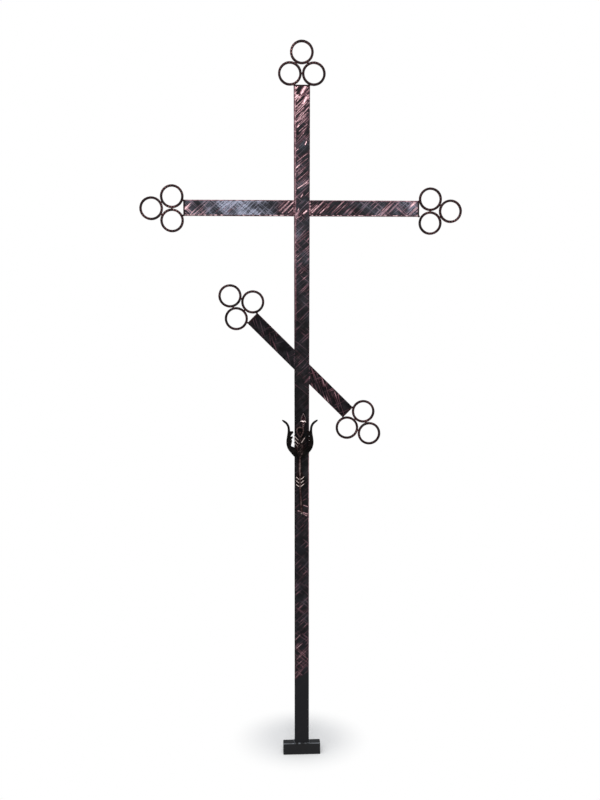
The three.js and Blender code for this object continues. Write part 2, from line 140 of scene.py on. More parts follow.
def forgedMaterial(name, values):
    material, tree = newMaterial(name)
    place = addNode(tree, "TexCoord", "Object")
    ridge, patina, rubbed, plain = (
        addNode(tree, "Attribute", "Fac", attribute_name=name) for name in finishNames)
    grain = addNode(tree, "TexNoise", "Fac", {
        "Vector": place, "Scale": 1000 / values["grainSize"], "Detail": 3.0, "Roughness": 0.6})
    cloud = addNode(tree, "TexNoise", "Fac", {
        "Vector": place, "Scale": 1000 / (values["grainSize"] * 6), "Detail": 3.0})
    # file marks: noise drawn out along the strokes, once each way
    scratches = []
    for turn in (values["markTurn"], values["crossTurn"]):
        turned = addNode(tree, "VectorRotate", "Vector", {
            "Vector": place, "Axis": (0, 1, 0), "Angle": math.radians(turn)})
        drawnOut = addNode(tree, "VectorMath", "Vector", {
            0: turned, 1: (1000 / values["markLength"], 60, 1000 / values["markWidth"])},
            operation="MULTIPLY")
        scratches.append(addNode(tree, "TexNoise", "Fac", {
            "Vector": drawnOut, "Scale": 1.0, "Detail": 1.0, "Roughness": 0.5}))
    # ground: black scale with grey patches, evened out where the tube is left plain
    patch = addNode(tree, "MapRange", "Result", {
        "Value": cloud, "From Min": values["patchSpan"][0], "From Max": values["patchSpan"][1]})
    ground = addNode(tree, "Mix", 2, {
        0: patch, 6: linearColour(values["scaleColour"]),
        7: linearColour(values["scalePatchColour"])}, data_type="RGBA")
    ground = addNode(tree, "Mix", 2, {
        0: plain, 6: ground, 7: linearColour(values["plainColour"])}, data_type="RGBA")
    # steel rubbed bare and copper worn thin lie on the file marks, more of them where the attribute
    # is high
    marks = []
    for finish, settings in ((rubbed, values["steelMarks"]), (patina, values["copperMarks"])):
        both = []
        for noise, (gain, fromMin, fromMax, strength) in zip(scratches, settings):
            raised = addNode(tree, "Math", 0, {0: finish, 1: gain, 2: noise},
                             operation="MULTIPLY_ADD")
            both.append(addNode(tree, "MapRange", "Result", {
                "Value": raised, "From Min": fromMin, "From Max": fromMax, "To Max": strength}))
        marks.append(addNode(tree, "Math", 0, {0: both[0], 1: both[1]}, operation="MAXIMUM"))
    steelLines, copperLines = marks
    # a thin veil of bare steel lies between its marks
    veil = addNode(tree, "Math", 0, {0: rubbed, 1: values["veilShare"]}, operation="MULTIPLY")
    steel = addNode(tree, "Math", 0, {0: steelLines, 1: rubbed, 2: veil},
                    operation="MULTIPLY_ADD", use_clamp=True)
    # the blue-grey of the bare steel, its veil included, is also a painted sheen of reflected light
    ground = addNode(tree, "Mix", 2, {
        0: steel, 6: ground, 7: linearColour(values["bareSteelAndSheenColour"])}, data_type="RGBA")
    # copper lies thick on the burrs, and thinly on the file marks where there is patina
    gain, least = values["thinCopper"]
    worn = addNode(tree, "Math", 0, {0: patina, 1: gain, 2: least}, operation="MULTIPLY_ADD")
    thin = addNode(tree, "Math", 0, {0: copperLines, 1: worn}, operation="MULTIPLY")
    fine, coarse, least, most = values["speckleSpan"]
    speckle = addNode(tree, "MapRange", "Result", {
        "Value": grain, "From Min": fine, "From Max": coarse, "To Min": least, "To Max": most})
    thick = addNode(tree, "Math", 0, {0: ridge, 1: speckle}, operation="MULTIPLY")
    copper = addNode(tree, "Math", 0, {0: thin, 1: thick}, operation="MAXIMUM", use_clamp=True)
    # the palest copper is partly a painted glint
    pale = addNode(tree, "MapRange", "Result", {
        "Value": copper, "From Min": values["paleSpan"][0], "From Max": values["paleSpan"][1]})
    tone = addNode(tree, "Mix", 2, {
        0: pale, 6: linearColour(values["copperColour"]),
        7: linearColour(values["paleCopperAndGlintColour"])}, data_type="RGBA")
    cover = addNode(tree, "MapRange", "Result", {
        "Value": copper, "From Min": values["coverSpan"][0], "From Max": values["coverSpan"][1]})
    colour = addNode(tree, "Mix", 2, {0: cover, 6: ground, 7: tone}, data_type="RGBA")
    bright = addNode(tree, "Math", 0, {0: cover, 1: steel}, operation="MAXIMUM")
    metal = addNode(tree, "Math", 0, {0: bright, 1: values["metalShare"]}, operation="MULTIPLY")
    rough = addNode(tree, "MapRange", "Result", {
        "Value": bright, "To Min": values["scaleRoughness"], "To Max": values["copperRoughness"]})
    height = addNode(tree, "Math", 0, {
        0: scratches[0], 1: values["scratchDepth"], 2: grain}, operation="MULTIPLY_ADD")
    bump = addNode(tree, "Bump", "Normal", {
        "Height": height, "Distance": values["bumpHeight"] / 1000, "Strength": 0.5})
    shader = addNode(tree, "BsdfPrincipled", "BSDF", {
        "Base Color": colour, "Metallic": metal, "Roughness": rough, "Normal": bump,
        "Specular IOR Level": values["gloss"]})
    addNode(tree, "OutputMaterial", None, {"Surface": shader})
    return material


# Satin black enamel sprayed on smooth steel. It gives the eye an even soft black with a faint
# orange peel, and a painted highlight in grey along the foot's edges and on its weld.
paintValues = {
    "colour": "#0c0c0e",
    "cloudColour": "#121214",
    "edgeHighlightColour": "#7c8086",
    "cloudSize": 25.0,  # mm
    "roughness": 0.32,
    "roughnessSpread": 0.1,
    "peelSize": 1.8,  # mm
    "peelHeight": 0.05,
}


def paintMaterial(name, values):
    material, tree = newMaterial(name)
    place = addNode(tree, "TexCoord", "Object")
    peel = addNode(tree, "TexNoise", "Fac", {
        "Vector": place, "Scale": 1000 / values["peelSize"], "Detail": 1.0})
    cloud = addNode(tree, "TexNoise", "Fac", {
        "Vector": place, "Scale": 1000 / values["cloudSize"], "Detail": 2.0})
    colour = addNode(tree, "Mix", 2, {
        0: cloud, 6: linearColour(values["colour"]),
        7: linearColour(values["cloudColour"])}, data_type="RGBA")
    # on this enamel the rubbed attribute carries painted highlights along the foot's edges and on
    # its weld
    rubbed = addNode(tree, "Attribute", "Fac", attribute_name="rubbed")
    colour = addNode(tree, "Mix", 2, {
        0: rubbed, 6: colour, 7: linearColour(values["edgeHighlightColour"])}, data_type="RGBA")
    bump = addNode(tree, "Bump", "Normal", {
        "Height": peel, "Distance": values["peelHeight"] / 1000, "Strength": 0.5})
    rough = addNode(tree, "Math", 0, {
        0: cloud, 1: values["roughnessSpread"], 2: values["roughness"]}, operation="MULTIPLY_ADD")
    shader = addNode(tree, "BsdfPrincipled", "BSDF", {
        "Base Color": colour, "Roughness": rough, "Normal": bump, "Specular IOR Level": 0.2})
    addNode(tree, "OutputMaterial", None, {"Surface": shader})
    return material


# The same tube on the slanted bar, where the file ran down the bar's own sides.
slantedValues = {**forgedValues, "markTurn": -72.0, "crossTurn": 20.0, "gloss": 0.03}

# Square iron bar bent hot into rings and hammered, brown-black from the fire. It gives the eye a
# dark line with short dull copper glints.
ringValues = {
    **forgedValues,
    "scaleColour": "#0d0607",
    "scalePatchColour": "#1c0f11",
    "gloss": 0.08,
    "bareSteelAndSheenColour": "#4a4441",
    "copperColour": "#452428",
    "paleCopperAndGlintColour": "#a87f7c",
    "markWidth": 1.6,
    "markLength": 9.0,
    "bumpHeight": 0.2,
}

# The flower's sheet and rod iron, forged thin, blackened and rubbed pale on its edges and tips,
# with painted highlights along its barbs and the stem's front. It gives the eye a black figure with
# fine light outlines.
flowerValues = {
    **forgedValues,
    "scaleColour": "#060505",
    "scalePatchColour": "#141110",
    "bareSteelAndSheenColour": "#5c5755",
    "copperColour": "#43292a",
    "paleCopperAndGlintColour": "#d3c3bd",
    "gloss": 0.03,
    "markWidth": 1.6,
    "markLength": 12.0,
    "bumpHeight": 0.15,
}

# The trumpet's sheet, left with the dark red of its heat tint, a highlight painted on its lip. It
# gives the eye a wine-dark hollow under one white glint.
trumpetValues = {
    **flowerValues,
    "scaleColour": "#12060a",
    "scalePatchColour": "#1e0a10",
    "copperColour": "#4a2630",
    "paleCopperAndGlintColour": "#f4e4e0",
}

forgedIron = forgedMaterial("hammeredSteelWithCopperPatina", forgedValues)
slantedIron = forgedMaterial("hammeredSteelFiledAslant", slantedValues)
blackPaint = paintMaterial("satinBlackEnamelOnSteel", paintValues)
ringIron = forgedMaterial("fireBlackForgedBar", ringValues)
flowerIron = forgedMaterial("blackenedForgedSheet", flowerValues)
trumpetIron = forgedMaterial("redHeatTintedSheet", trumpetValues)
print("materials made")


# quads between neighbours on a grid of rows by columns; the columns run anticlockwise seen from the
# side that the rows advance to, so that every face points outwards
def gridFaces(rows, columns, closeRows=False, closeColumns=True):
    i = np.arange(rows if closeRows else rows - 1)[:, None]
    j = np.arange(columns if closeColumns else columns - 1)[None, :]
    after, beside = (i + 1) % rows, (j + 1) % columns
    corners = [i * columns + j, i * columns + beside, after * columns + beside, after * columns + j]
    return np.stack(corners, -1).reshape(-1, 4)


# a closed shell from a grid of points in mm, both ends shut by one face, with its named values
def shell(grid, closeRows=False, **values):
    rows, columns = grid.shape[:2]
    caps = []
    if not closeRows:
        caps = [list(range(columns))[::-1], list(range((rows - 1) * columns, rows * columns))]
    flat = {name: np.broadcast_to(value, (rows, columns)).reshape(-1)
            for name, value in values.items()}
    return {"points": grid.reshape(-1, 3), "quads": gridFaces(rows, columns, closeRows),
            "caps": caps, "values": flat}


# one piece out of several shells, in metres, riding on the frame
def makePiece(name, shells, material, nodes=(), sharpAngle=50):
    counts = np.cumsum([0] + [len(s["points"]) for s in shells])
    points = np.concatenate([s["points"] for s in shells]) / 1000
    faces = []
    for start, s in zip(counts, shells):
        faces += (s["quads"] + start).tolist()
        faces += [[int(start) + index for index in cap] for cap in s["caps"]]
    mesh = bpy.data.meshes.new(name)
    mesh.from_pydata(points.tolist(), [], faces)
    for value in finishNames:
        numbers = np.concatenate([s["values"].get(value, np.zeros(len(s["points"])))
                                  for s in shells])
        layer = mesh.attributes.new(value, "FLOAT", "POINT")
        layer.data.foreach_set("value", numbers.astype(np.float32))
    mesh.polygons.foreach_set("use_smooth", np.ones(len(mesh.polygons), bool))
    mesh.set_sharp_from_angle(angle=math.radians(sharpAngle))
    mesh.materials.append(material)
    piece = bpy.data.objects.new(name, mesh)
    bpy.context.scene.collection.objects.link(piece)
    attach(piece, "root")
    if nodes:
        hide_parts(*nodes)
    return piece


# a soft random relief: the mean of sine waves of about one wavelength, each in its own direction
def ripple(a, b, wavelength, seed, waves=7):
    random = np.random.default_rng(seed)
    total = np.zeros(np.broadcast(a, b).shape)
    for turn, phase, stretch in zip(random.uniform(0, math.pi, waves),
                                    random.uniform(0, 2 * math.pi, waves),
                                    random.uniform(0.7, 1.4, waves)):
        pace = 2 * math.pi / (wavelength * stretch)
        total += np.sin(pace * (a * math.cos(turn) + b * math.sin(turn)) + phase)
    return total / waves


# a rounded outline: cos and sin of the turn, each raised to 2 / power, anticlockwise
def roundOutline(count, power=2.0):
    turn = 2 * math.pi * np.arange(count) / count
    both = np.stack([np.cos(turn), np.sin(turn)], -1)
    return np.sign(both) * np.abs(both) ** (2 / power)


# a smooth line through the places, resampled to even steps along its length
def smoothPath(places, count):
    places = np.array(places, float)
    ends = np.concatenate([[2 * places[0] - places[1]], places, [2 * places[-1] - places[-2]]])
    t = np.linspace(0, 1, 24, endpoint=False)[:, None]
    parts = [0.5 * (2 * b + (c - a) * t + (2 * a - 5 * b + 4 * c - d) * t ** 2
                    + (3 * b - a - 3 * c + d) * t ** 3)
             for a, b, c, d in zip(ends, ends[1:], ends[2:], ends[3:])]
    dense = np.concatenate(parts + [places[-1:]])
    run = np.concatenate([[0], np.cumsum(np.linalg.norm(np.diff(dense, axis=0), axis=1))])
    steps = np.linspace(0, run[-1], count)
    return np.stack([np.interp(steps, run, dense[:, i]) for i in range(3)], -1)


def unit(vectors):
    return vectors / np.maximum(np.linalg.norm(vectors, axis=-1, keepdims=True), 1e-9)


# the outline carried square to a path: its first number goes along `reference` times sizeA, its
# second across that times sizeB
def sweep(path, outline, sizeA, sizeB, reference=(0, 1, 0), closed=False):
    if closed:
        along = unit(np.roll(path, -1, 0) - np.roll(path, 1, 0))
    else:
        along = unit(np.gradient(path, axis=0))
    sideB = unit(np.cross(along, np.array(reference, float)))
    sideA = np.cross(sideB, along)
    sizeA = np.broadcast_to(sizeA, len(path))[:, None, None]
    sizeB = np.broadcast_to(sizeB, len(path))[:, None, None]
    return (path[:, None] + outline[None, :, :1] * sizeA * sideA[:, None]
            + outline[None, :, 1:] * sizeB * sideB[:, None])


# a rounded rectangle: four quarter circles joined by flats, anticlockwise from the lower right
def roundRectangle(width, depth, corner, perCorner=6, perFlat=5):
    points = []
    for sideX, sideY, start in ((1, -1, -90), (1, 1, 0), (-1, 1, 90), (-1, -1, 180)):
        turn = np.radians(start + np.linspace(0, 90, perCorner))
        points.append(np.stack([sideX * (width / 2 - corner) + corner * np.cos(turn),
                                sideY * (depth / 2 - corner) + corner * np.sin(turn)], -1))
        nextX, nextY = -sideY, sideX
        turn = math.radians(start + 90)
        begin = points[-1][-1]
        finish = np.array([nextX * (width / 2 - corner) + corner * math.cos(turn),
                           nextY * (depth / 2 - corner) + corner * math.sin(turn)])
        share = np.linspace(0, 1, perFlat + 2)[1:-1, None]
        points.append(begin + (finish - begin) * share)
    return np.concatenate(points)


# turns points in a bar's own frame (across, depth, along) to the object's frame
def placeBar(grid, values):
    turn = math.radians(values["turn"])
    x = grid[..., 0] * math.cos(turn) + grid[..., 2] * math.sin(turn) + values["shift"]
    z = grid[..., 2] * math.cos(turn) - grid[..., 0] * math.sin(turn) + values["height"]
    return np.stack([x, grid[..., 1] + tube["midPlane"], z], -1)


tube = {
    "depth": 20.0,
    "corner": 3.0,
    "midPlane": -3.0,
    "frontColumns": 40,
    "backColumns": 24,
    "sideColumns": 5,
    "cornerColumns": 4,
    "rowStep": 1.7,  # mm between rows
    "slopeFade": 60.0, "forgedFade": 5.0,  # mm over which a slant end and the forging ease out
    "dentLength": 13.0, "dentDepth": 0.32, "dentMiddle": 0.12,  # mm
    "deepest": 1.1, "proudest": 0.25,
    # mm from one bright or worn stretch to the next
    "nickLength": 11, "rubLength": 19, "smoothLength": 15, "washLength": 40, "steelLength": 48,
    # a stroke's ends ease out over this; its burr's place and width are shares of its half width,
    # and the burr's height one of its depth
    "strokeEase": 4, "burrPlace": 1.9, "burrWidth": 0.95, "burrHeight": 0.3,
    "capThickness": 4.0, "jointGap": 0.3, "seatReach": 40.0,
}


# one turn of the tube's outline: shares of the flat width and depth, and the way out
def tubeOutline():
    front = np.linspace(-1, 1, tube["frontColumns"])
    back = np.linspace(1, -1, tube["backColumns"])
    side = np.linspace(-1, 1, tube["sideColumns"] + 2)[1:-1]
    bend = np.radians(np.linspace(0, 90, tube["cornerColumns"] + 2)[1:-1])
    rows = []
    # each flat with its way out, and then the corner after it with the angle that it starts at
    for x, y, outX, outY, cornerX, cornerY, start in (
            (front, -1, 0, -1, 1, -1, -90), (1, side, 1, 0, 1, 1, 0),
            (back, 1, 0, 1, -1, 1, 90), (-1, -side, -1, 0, -1, -1, 180)):
        turn = bend + math.radians(start)
        rows.append(np.stack(np.broadcast_arrays(x, y, outX, outY), -1))
        rows.append(np.stack(np.broadcast_arrays(cornerX, cornerY, np.cos(turn), np.sin(turn)), -1))
    return np.concatenate(rows)


# for each column: its share of the flat width and depth, and the way out in X and Y
flatX, flatY, wayX, wayY = tubeOutline().T
isFront, isBack = wayY < -0.99, wayY > 0.99
# 1 in the middle of each rounded corner, a quarter on the side faces, 0 on the front and back
onEdge = 1 - np.abs(np.abs(wayX) * 2 - 1) ** 2
onEdge[np.abs(wayX) < 0.05] = 0
onEdge[np.abs(wayX) > 0.95] = 0.25
# 1 round the front corners, easing out on the side faces
frontCorner = (np.abs(wayX) > 0.2) * np.clip(-wayY * 2.5, 0.12, 1) * (wayY < 0.1)


# the chisel strokes of one face as rows of numbers: middle across and along, angle, half length,
# half width, depth and how bright the burr is. They gather in groups: a slow random wave along the
# bar makes some stretches bright and leaves others dark
def planStrokes(values, width, start, end, seed):
    random = np.random.default_rng(seed)
    pitch = values["strokePitch"]
    count = int((end - start) / pitch)
    along = start + (np.arange(count) + random.uniform(0.25, 0.75, count)) * pitch
    group = np.clip(0.75 + 1.5 * ripple(along, 0 * along, values["groupLength"], seed), 0.12, 1.5)
    angle = values["strokeAngle"] + random.normal(0, values["angleSpread"], count)
    across = random.uniform(-0.35, 0.35, count) * width
    half = random.uniform(0.3, 0.9, count) * width
    thin = random.uniform(0.65, 1.05, count)
    deep = random.uniform(0.2, 0.8, count)
    bright = np.clip(random.uniform(0.2, 1.0, count) ** values["strokeContrast"] * group, 0.05, 1.2)
    main = np.stack([across, along, angle, half, thin, deep, bright], -1)
    # a share of lighter strokes runs the other way
    crossing = int(count * values["crossShare"])
    other = main[random.permutation(count)[:crossing]].copy()
    other[:, 1] += random.uniform(-pitch, pitch, crossing)
    other[:, 2] = values["crossAngle"] + random.normal(0, values["angleSpread"], crossing)
    other[:, 3] *= 0.8
    other[:, 4] *= 0.7
    other[:, 5] *= 0.6
    other[:, 6] *= values["crossBright"](other[:, 1])
    return np.concatenate([main, other])


# each stroke is a groove with a bell-shaped floor and a raised burr on its upper side, both easing
# out at its ends; the depths and burrs of all the strokes are added up over the face
def cutStrokes(across, along, strokes):
    depth, ridge = np.zeros(across.shape), np.zeros(across.shape)
    rowPlace = along.mean(1)
    for x, z, angle, half, thin, deep, bright in strokes:
        near = slice(*np.searchsorted(rowPlace, [z - half - 30, z + half + 30]))
        c, s = math.cos(math.radians(angle)), math.sin(math.radians(angle))
        run = (across[near] - x) * c + (along[near] - z) * s
        off = (along[near] - z) * c - (across[near] - x) * s
        ends = np.clip((half - np.abs(run)) / tube["strokeEase"], 0, 1)
        ends = ends * ends * (3 - 2 * ends)
        depth[near] += deep * ends * np.exp(-(off / thin) ** 2)
        fromBurr = (off - tube["burrPlace"] * thin) / (tube["burrWidth"] * thin)
        burr = ends * np.exp(-fromBurr ** 2)
        depth[near] -= tube["burrHeight"] * deep * burr
        ridge[near] = np.maximum(ridge[near], bright * burr)
    return depth, ridge


# a hammered bar from start to end. Its first rows are cut to the slope, and below the forged line
# it stays plain. The relief is the strokes' depth plus a soft random one for the hammer dents
def forgedBar(values, start, end, startSlope, widthAt, seed, forgedLine=None):
    rows = int((end - start) / tube["rowStep"]) + 1
    place = np.linspace(start, end, rows)[:, None]
    width = widthAt(place)
    x = flatX * (width / 2 - tube["corner"]) + wayX * tube["corner"]
    y = flatY * (tube["depth"] / 2 - tube["corner"]) + wayY * tube["corner"] + 0 * place
    fade = np.clip(1 - (place - start) / tube["slopeFade"], 0, 1)
    along = place + startSlope * fade * x
    worked = np.ones(x.shape)
    if forgedLine is not None:
        worked = np.clip((along - forgedLine(x)) / tube["forgedFade"], 0, 1)
    depth, ridge = np.zeros(x.shape), np.zeros(x.shape)
    for face, number in ((isFront, 0), (isBack, 1)):
        strokes = planStrokes(values, float(np.mean(widthAt(place))), start, end, seed + number)
        if number == 0:
            strokes = np.concatenate([strokes, np.array(values["marks"]).reshape(-1, 7)])
        depth[:, face], ridge[:, face] = cutStrokes(x[:, face], along[:, face], strokes)
    turnRun = np.cumsum(np.hypot(np.diff(x, axis=1, append=x[:, :1]),
                                 np.diff(y, axis=1, append=y[:, :1])), axis=1)
    dents = ripple(turnRun, along, tube["dentLength"], seed + 5)
    depth += tube["dentDepth"] * dents + tube["dentMiddle"]
    depth = np.clip(depth, -tube["proudest"], tube["deepest"]) * worked
    zone = {name: values[name](along) for name in zoneNames}
    ridge = ridge * zone["copper"]
    # the front corners: bright nicks in the copper over an even rub, each side by its own strength
    corner = np.clip(-wayY, 0, 1) * onEdge
    side = np.where(wayX < 0, zone["edge"], zone["farEdge"])
    nicks = np.clip(0.25 + 2.2 * ripple(0 * turnRun, along, tube["nickLength"], seed + 8), 0, 1.3)
    even = np.where(wayX * values["bandSide"] > 0, zone["band"], zone["line"])
    uneven = 1 + 0.5 * ripple(0 * turnRun, along, tube["rubLength"], seed + 12)
    even = even * frontCorner * uneven
    ridge = np.maximum(ridge, np.maximum(corner * side * nicks, even))
    # where the band is strong, its side of the front is rubbed smooth
    smooth = isFront & (flatX * values["bandSide"] > values["bandStart"])
    smooth = smooth & (zone["band"] > 0.2)
    uneven = 1 + 0.5 * ripple(x, along, tube["smoothLength"], seed + 13)
    ridge = np.where(smooth, zone["band"] * uneven, ridge) * worked
    uneven = 1 + 0.9 * ripple(x, along, tube["washLength"], seed + 9)
    patina = np.clip(zone["wash"] * uneven, 0, 1) * worked * np.abs(wayY)
    # bare steel, laid where a blue-grey sheen of reflected light showed, so partly a painted
    # reflection
    uneven = 1 + ripple(x, along, tube["steelLength"], seed + 10)
    rubbed = np.clip(zone["steel"] * uneven, 0, 1) * (isFront | isBack) * worked
    grid = placeBar(np.stack([x - wayX * depth * 0.5, y - wayY * depth, along], -1), values)
    return shell(grid, ridge=ridge, patina=patina, rubbed=rubbed, plain=1 - worked)


# linear steps between (place, value) pairs
def profile(*pairs):
    places, numbers = zip(*pairs)
    return lambda at: np.interp(at, places, numbers)


# how strong each finish is along a bar: copper on the burrs, thin copper, bare steel with a painted
# sheen, nicks along the two front corners, and even rubs along them
zoneNames = ("copper", "wash", "steel", "edge", "farEdge", "band", "line")

postValues = {
    "shift": 0.0, "height": 0.0, "turn": 0.0,
    "bottom": 34.3, "reach": 1850.0,
    "width": profile((960, 40.0), (1850, 43.0)),
    "strokePitch": 6.0, "strokeAngle": 43.0, "angleSpread": 5.0, "groupLength": 60.0,
    "strokeContrast": 1.3,
    "crossShare": 0.5, "crossAngle": -42.0,
    "crossBright": profile((240, 1.1), (420, 0.8), (1200, 0.8), (1300, 0.3), (1850, 0.25)),
    "bandSide": -1, "bandStart": 0.86,
    # how strong each finish is at each height; the copper and its wash rising towards the top are
    # partly a painted highlight where the softbox is reflected
    "copper": profile((240, 0.5), (300, 0.55), (330, 0.3), (500, 0.2), (700, 0.2), (850, 0.1),
                      (1250, 0.15), (1320, 0.3), (1450, 0.38), (1600, 0.5), (1660, 0.52),
                      (1695, 0.4), (1740, 0.8), (1850, 0.9)),
    "wash": profile((240, 0.36), (330, 0.24), (600, 0.22), (720, 0.12), (860, 0.03), (1010, 0.03),
                    (1060, 0.18), (1130, 0.18), (1250, 0.18), (1400, 0.3), (1500, 0.3),
                    (1640, 0.28), (1700, 0.2), (1750, 0.4), (1850, 0.5)),
    "steel": profile((240, 0.1), (500, 0.13), (760, 0.05), (1010, 0.02), (1060, 0.05),
                     (1180, 0.1), (1200, 0.06), (1450, 0.3), (1700, 0.2), (1850, 0.05)),
    "edge": profile((240, 0.05), (900, 0.03), (1300, 0.1), (1500, 0.2), (1850, 0.4)),
    "farEdge": profile((240, 0.1), (700, 0.12), (1300, 0.15), (1500, 0.3), (1850, 0.7)),
    # even rubs along the front corners: the band on the left, the line on the right
    "band": profile((240, 0.12), (340, 0.05), (900, 0.0), (1150, 0.1), (1300, 0.28), (1850, 0.36)),
    "line": profile((240, 0.2), (600, 0.2), (660, 0.42), (850, 0.4), (950, 0.15), (1300, 0.12),
                    (1850, 0.2)),
    # the plain lower tube ends on a slant across the front
    "plainEnd": profile((-20, 218.8), (20, 244.3)),
    # strokes that stand out: across, along, angle, half length, half width, depth, brightness
    "marks": (
        (12, 1832, 60, 15, 5.0, 0.2, 0.66), (15, 1806, 62, 14, 4.4, 0.2, 0.7),
        (2, 1826, 54, 20, 1.3, 0.5, 0.75), (-13, 1838, 50, 12, 1.6, 0.5, 0.8),
        (-6, 1812, 52, 12, 1.2, 0.5, 0.8), (5, 1795, 44, 17, 1.1, 0.6, 0.85),
        (-4, 1781, 43, 17, 1.0, 0.6, 0.75), (3, 1766, 43, 20, 1.0, 0.5, 0.8),
        (-2, 1752, 44, 18, 1.0, 0.5, 0.7), (-8, 1741, 42, 7, 1.8, 0.5, 0.9),
        (4, 1738, 41, 18, 0.9, 0.5, 0.75), (0, 1724, 41, 19, 0.9, 0.5, 0.6),
        (13, 1699, 68, 8, 1.6, 0.4, 1.7), (-12, 1680, 40, 8, 1.2, 0.4, 1.3),
        (2, 1662, 38, 20, 0.9, 0.6, 1.1), (4, 1650, 38, 18, 0.9, 0.6, 1.0),
        (-9, 1637, 41, 9, 1.7, 0.5, 1.8), (0, 1628, 40, 17, 0.9, 0.5, 1.0),
        (2, 1588, 33, 18, 1.3, 0.6, 1.8), (-4, 1606, 42, 14, 0.8, 0.5, 0.6),
        (11, 1517, 42, 9, 2.1, 0.6, 2.1), (-7, 1526, 75, 6, 1.5, 0.5, 1.7),
        (2, 1562, 60, 8, 1.4, 0.4, 1.2), (-12, 1503, 45, 8, 1.4, 0.4, 1.5),
        (0, 1133, -45, 28, 0.9, 0.5, 1.3), (0, 1079, -45, 28, 0.9, 0.5, 1.2),
        (9, 720, -22, 9, 1.0, 0.4, 4.2), (1.5, 702, -19, 17, 1.0, 0.4, 4.4),
        (8, 695, -29, 9, 0.9, 0.4, 3.8), (8, 738, 30, 8, 0.9, 0.3, 2.4),
        (-4, 304, -42, 20, 0.9, 0.5, 0.9), (2, 293, -41, 22, 0.9, 0.5, 0.9),
        (4, 280, -40, 20, 0.9, 0.5, 0.8), (-6, 266, -44, 16, 0.9, 0.4, 0.7),
        (-6, 320, 42, 14, 0.9, 0.4, 1.8), (-10, 345, 48, 12, 0.9, 0.4, 2.0),
        (8, 262, 40, 12, 0.9, 0.4, 0.8),
    ),
}


def makePost():
    values = postValues
    top = values["reach"] - tube["capThickness"] - tube["jointGap"]
    bar = forgedBar(values, values["bottom"], top, 0, values["width"], 11, values["plainEnd"])
    makePiece("postTube", [bar], forgedIron, ["post"])


crossbarValues = {
    "shift": 0.0, "height": 1531.0, "width": 42.0, "reach": 315.0,
    "strokePitch": 4.6, "angleSpread": 5.0, "groupLength": 70.0, "crossShare": 0.75,
    "crossBright": profile((20, 0.7), (315, 0.7)),
    "strokeContrast": 1.6, "bandStart": 1.0,
    "worldAngle": 44.0, "worldCross": -42.0, "finish": forgedIron,
    "leftCopper": profile((20, 0.5), (58, 0.4), (72, 0.1), (200, 0.12), (260, 0.15), (315, 0.28)),
    # the arms' bare steel, strongest in the left arm's middle, is partly a painted blue-grey sheen
    "leftSteel": profile((20, 0.1), (60, 0.2), (90, 0.5), (130, 0.95), (190, 0.95), (215, 0.85),
                         (240, 0.5), (315, 0.45)),
    "leftWash": profile((20, 0.2), (58, 0.2), (80, 0.15), (245, 0.15), (270, 0.42), (315, 0.45)),
    "rightCopper": profile((20, 0.45), (62, 0.35), (75, 0.22), (112, 0.4), (135, 0.2), (160, 0.1),
                           (190, 0.14), (215, 0.4), (245, 0.26), (315, 0.52)),
    "rightSteel": profile((20, 0.1), (110, 0.2), (165, 0.24), (200, 0.4), (240, 0.4), (315, 0.6)),
    "rightWash": profile((20, 0.2), (110, 0.3), (140, 0.22), (180, 0.2), (215, 0.42), (250, 0.32),
                         (315, 0.6)),
    # the bright dots along the arms' lower front corner are painted highlights
    "lowerEdge": profile((20, 1.15), (315, 1.2)),
    "upperEdge": profile((20, 0.3), (200, 0.2), (315, 0.35)),
    "band": profile((20, 0.3), (315, 0.4)),
    "line": profile((20, 0.22), (315, 0.24)),
    # strokes that stand out: across, along, half length, half width, depth, brightness
    "leftMarks": (
        (3, 45, 22, 1.6, 0.5, 1.5), (-1, 35, 24, 1.8, 0.5, 1.6), (-7, 27, 13, 1.5, 0.4, 1.4),
        (6, 54, 15, 1.1, 0.5, 1.3), (-9, 190, 9, 1.4, 0.3, 3.5), (-4, 204, 8, 1.1, 0.3, 3.5),
        (-2, 178, 9, 1.0, 0.3, 3.0), (4, 160, 14, 0.9, 0.3, 2.6), (-6, 221, 12, 0.9, 0.3, 3.0),
        (2, 286, 18, 0.9, 0.4, 0.7), (0, 268, 22, 0.9, 0.4, 0.6), (-5, 302, 12, 0.9, 0.4, 0.6),
    ),
    "rightMarks": (
        (9, 26, 10, 1.3, 0.6, 1.8), (4, 32, 18, 1.3, 0.6, 1.7), (0, 44, 24, 1.7, 0.5, 1.5),
        (2, 55, 22, 1.1, 0.5, 1.3), (0, 67, 26, 1.5, 0.5, 1.6), (4, 80, 18, 1.0, 0.5, 1.1),
        (0, 97, 26, 1.4, 0.5, 1.6), (2, 108, 24, 1.0, 0.5, 1.4), (-3, 229, 20, 1.7, 0.4, 1.5),
        (4, 246, 22, 1.1, 0.5, 0.7), (0, 270, 18, 0.9, 0.4, 0.6), (8, 300, 12, 1.2, 0.4, 0.8),
        (-6, 292, 14, 0.9, 0.4, 0.7),
    ),
}

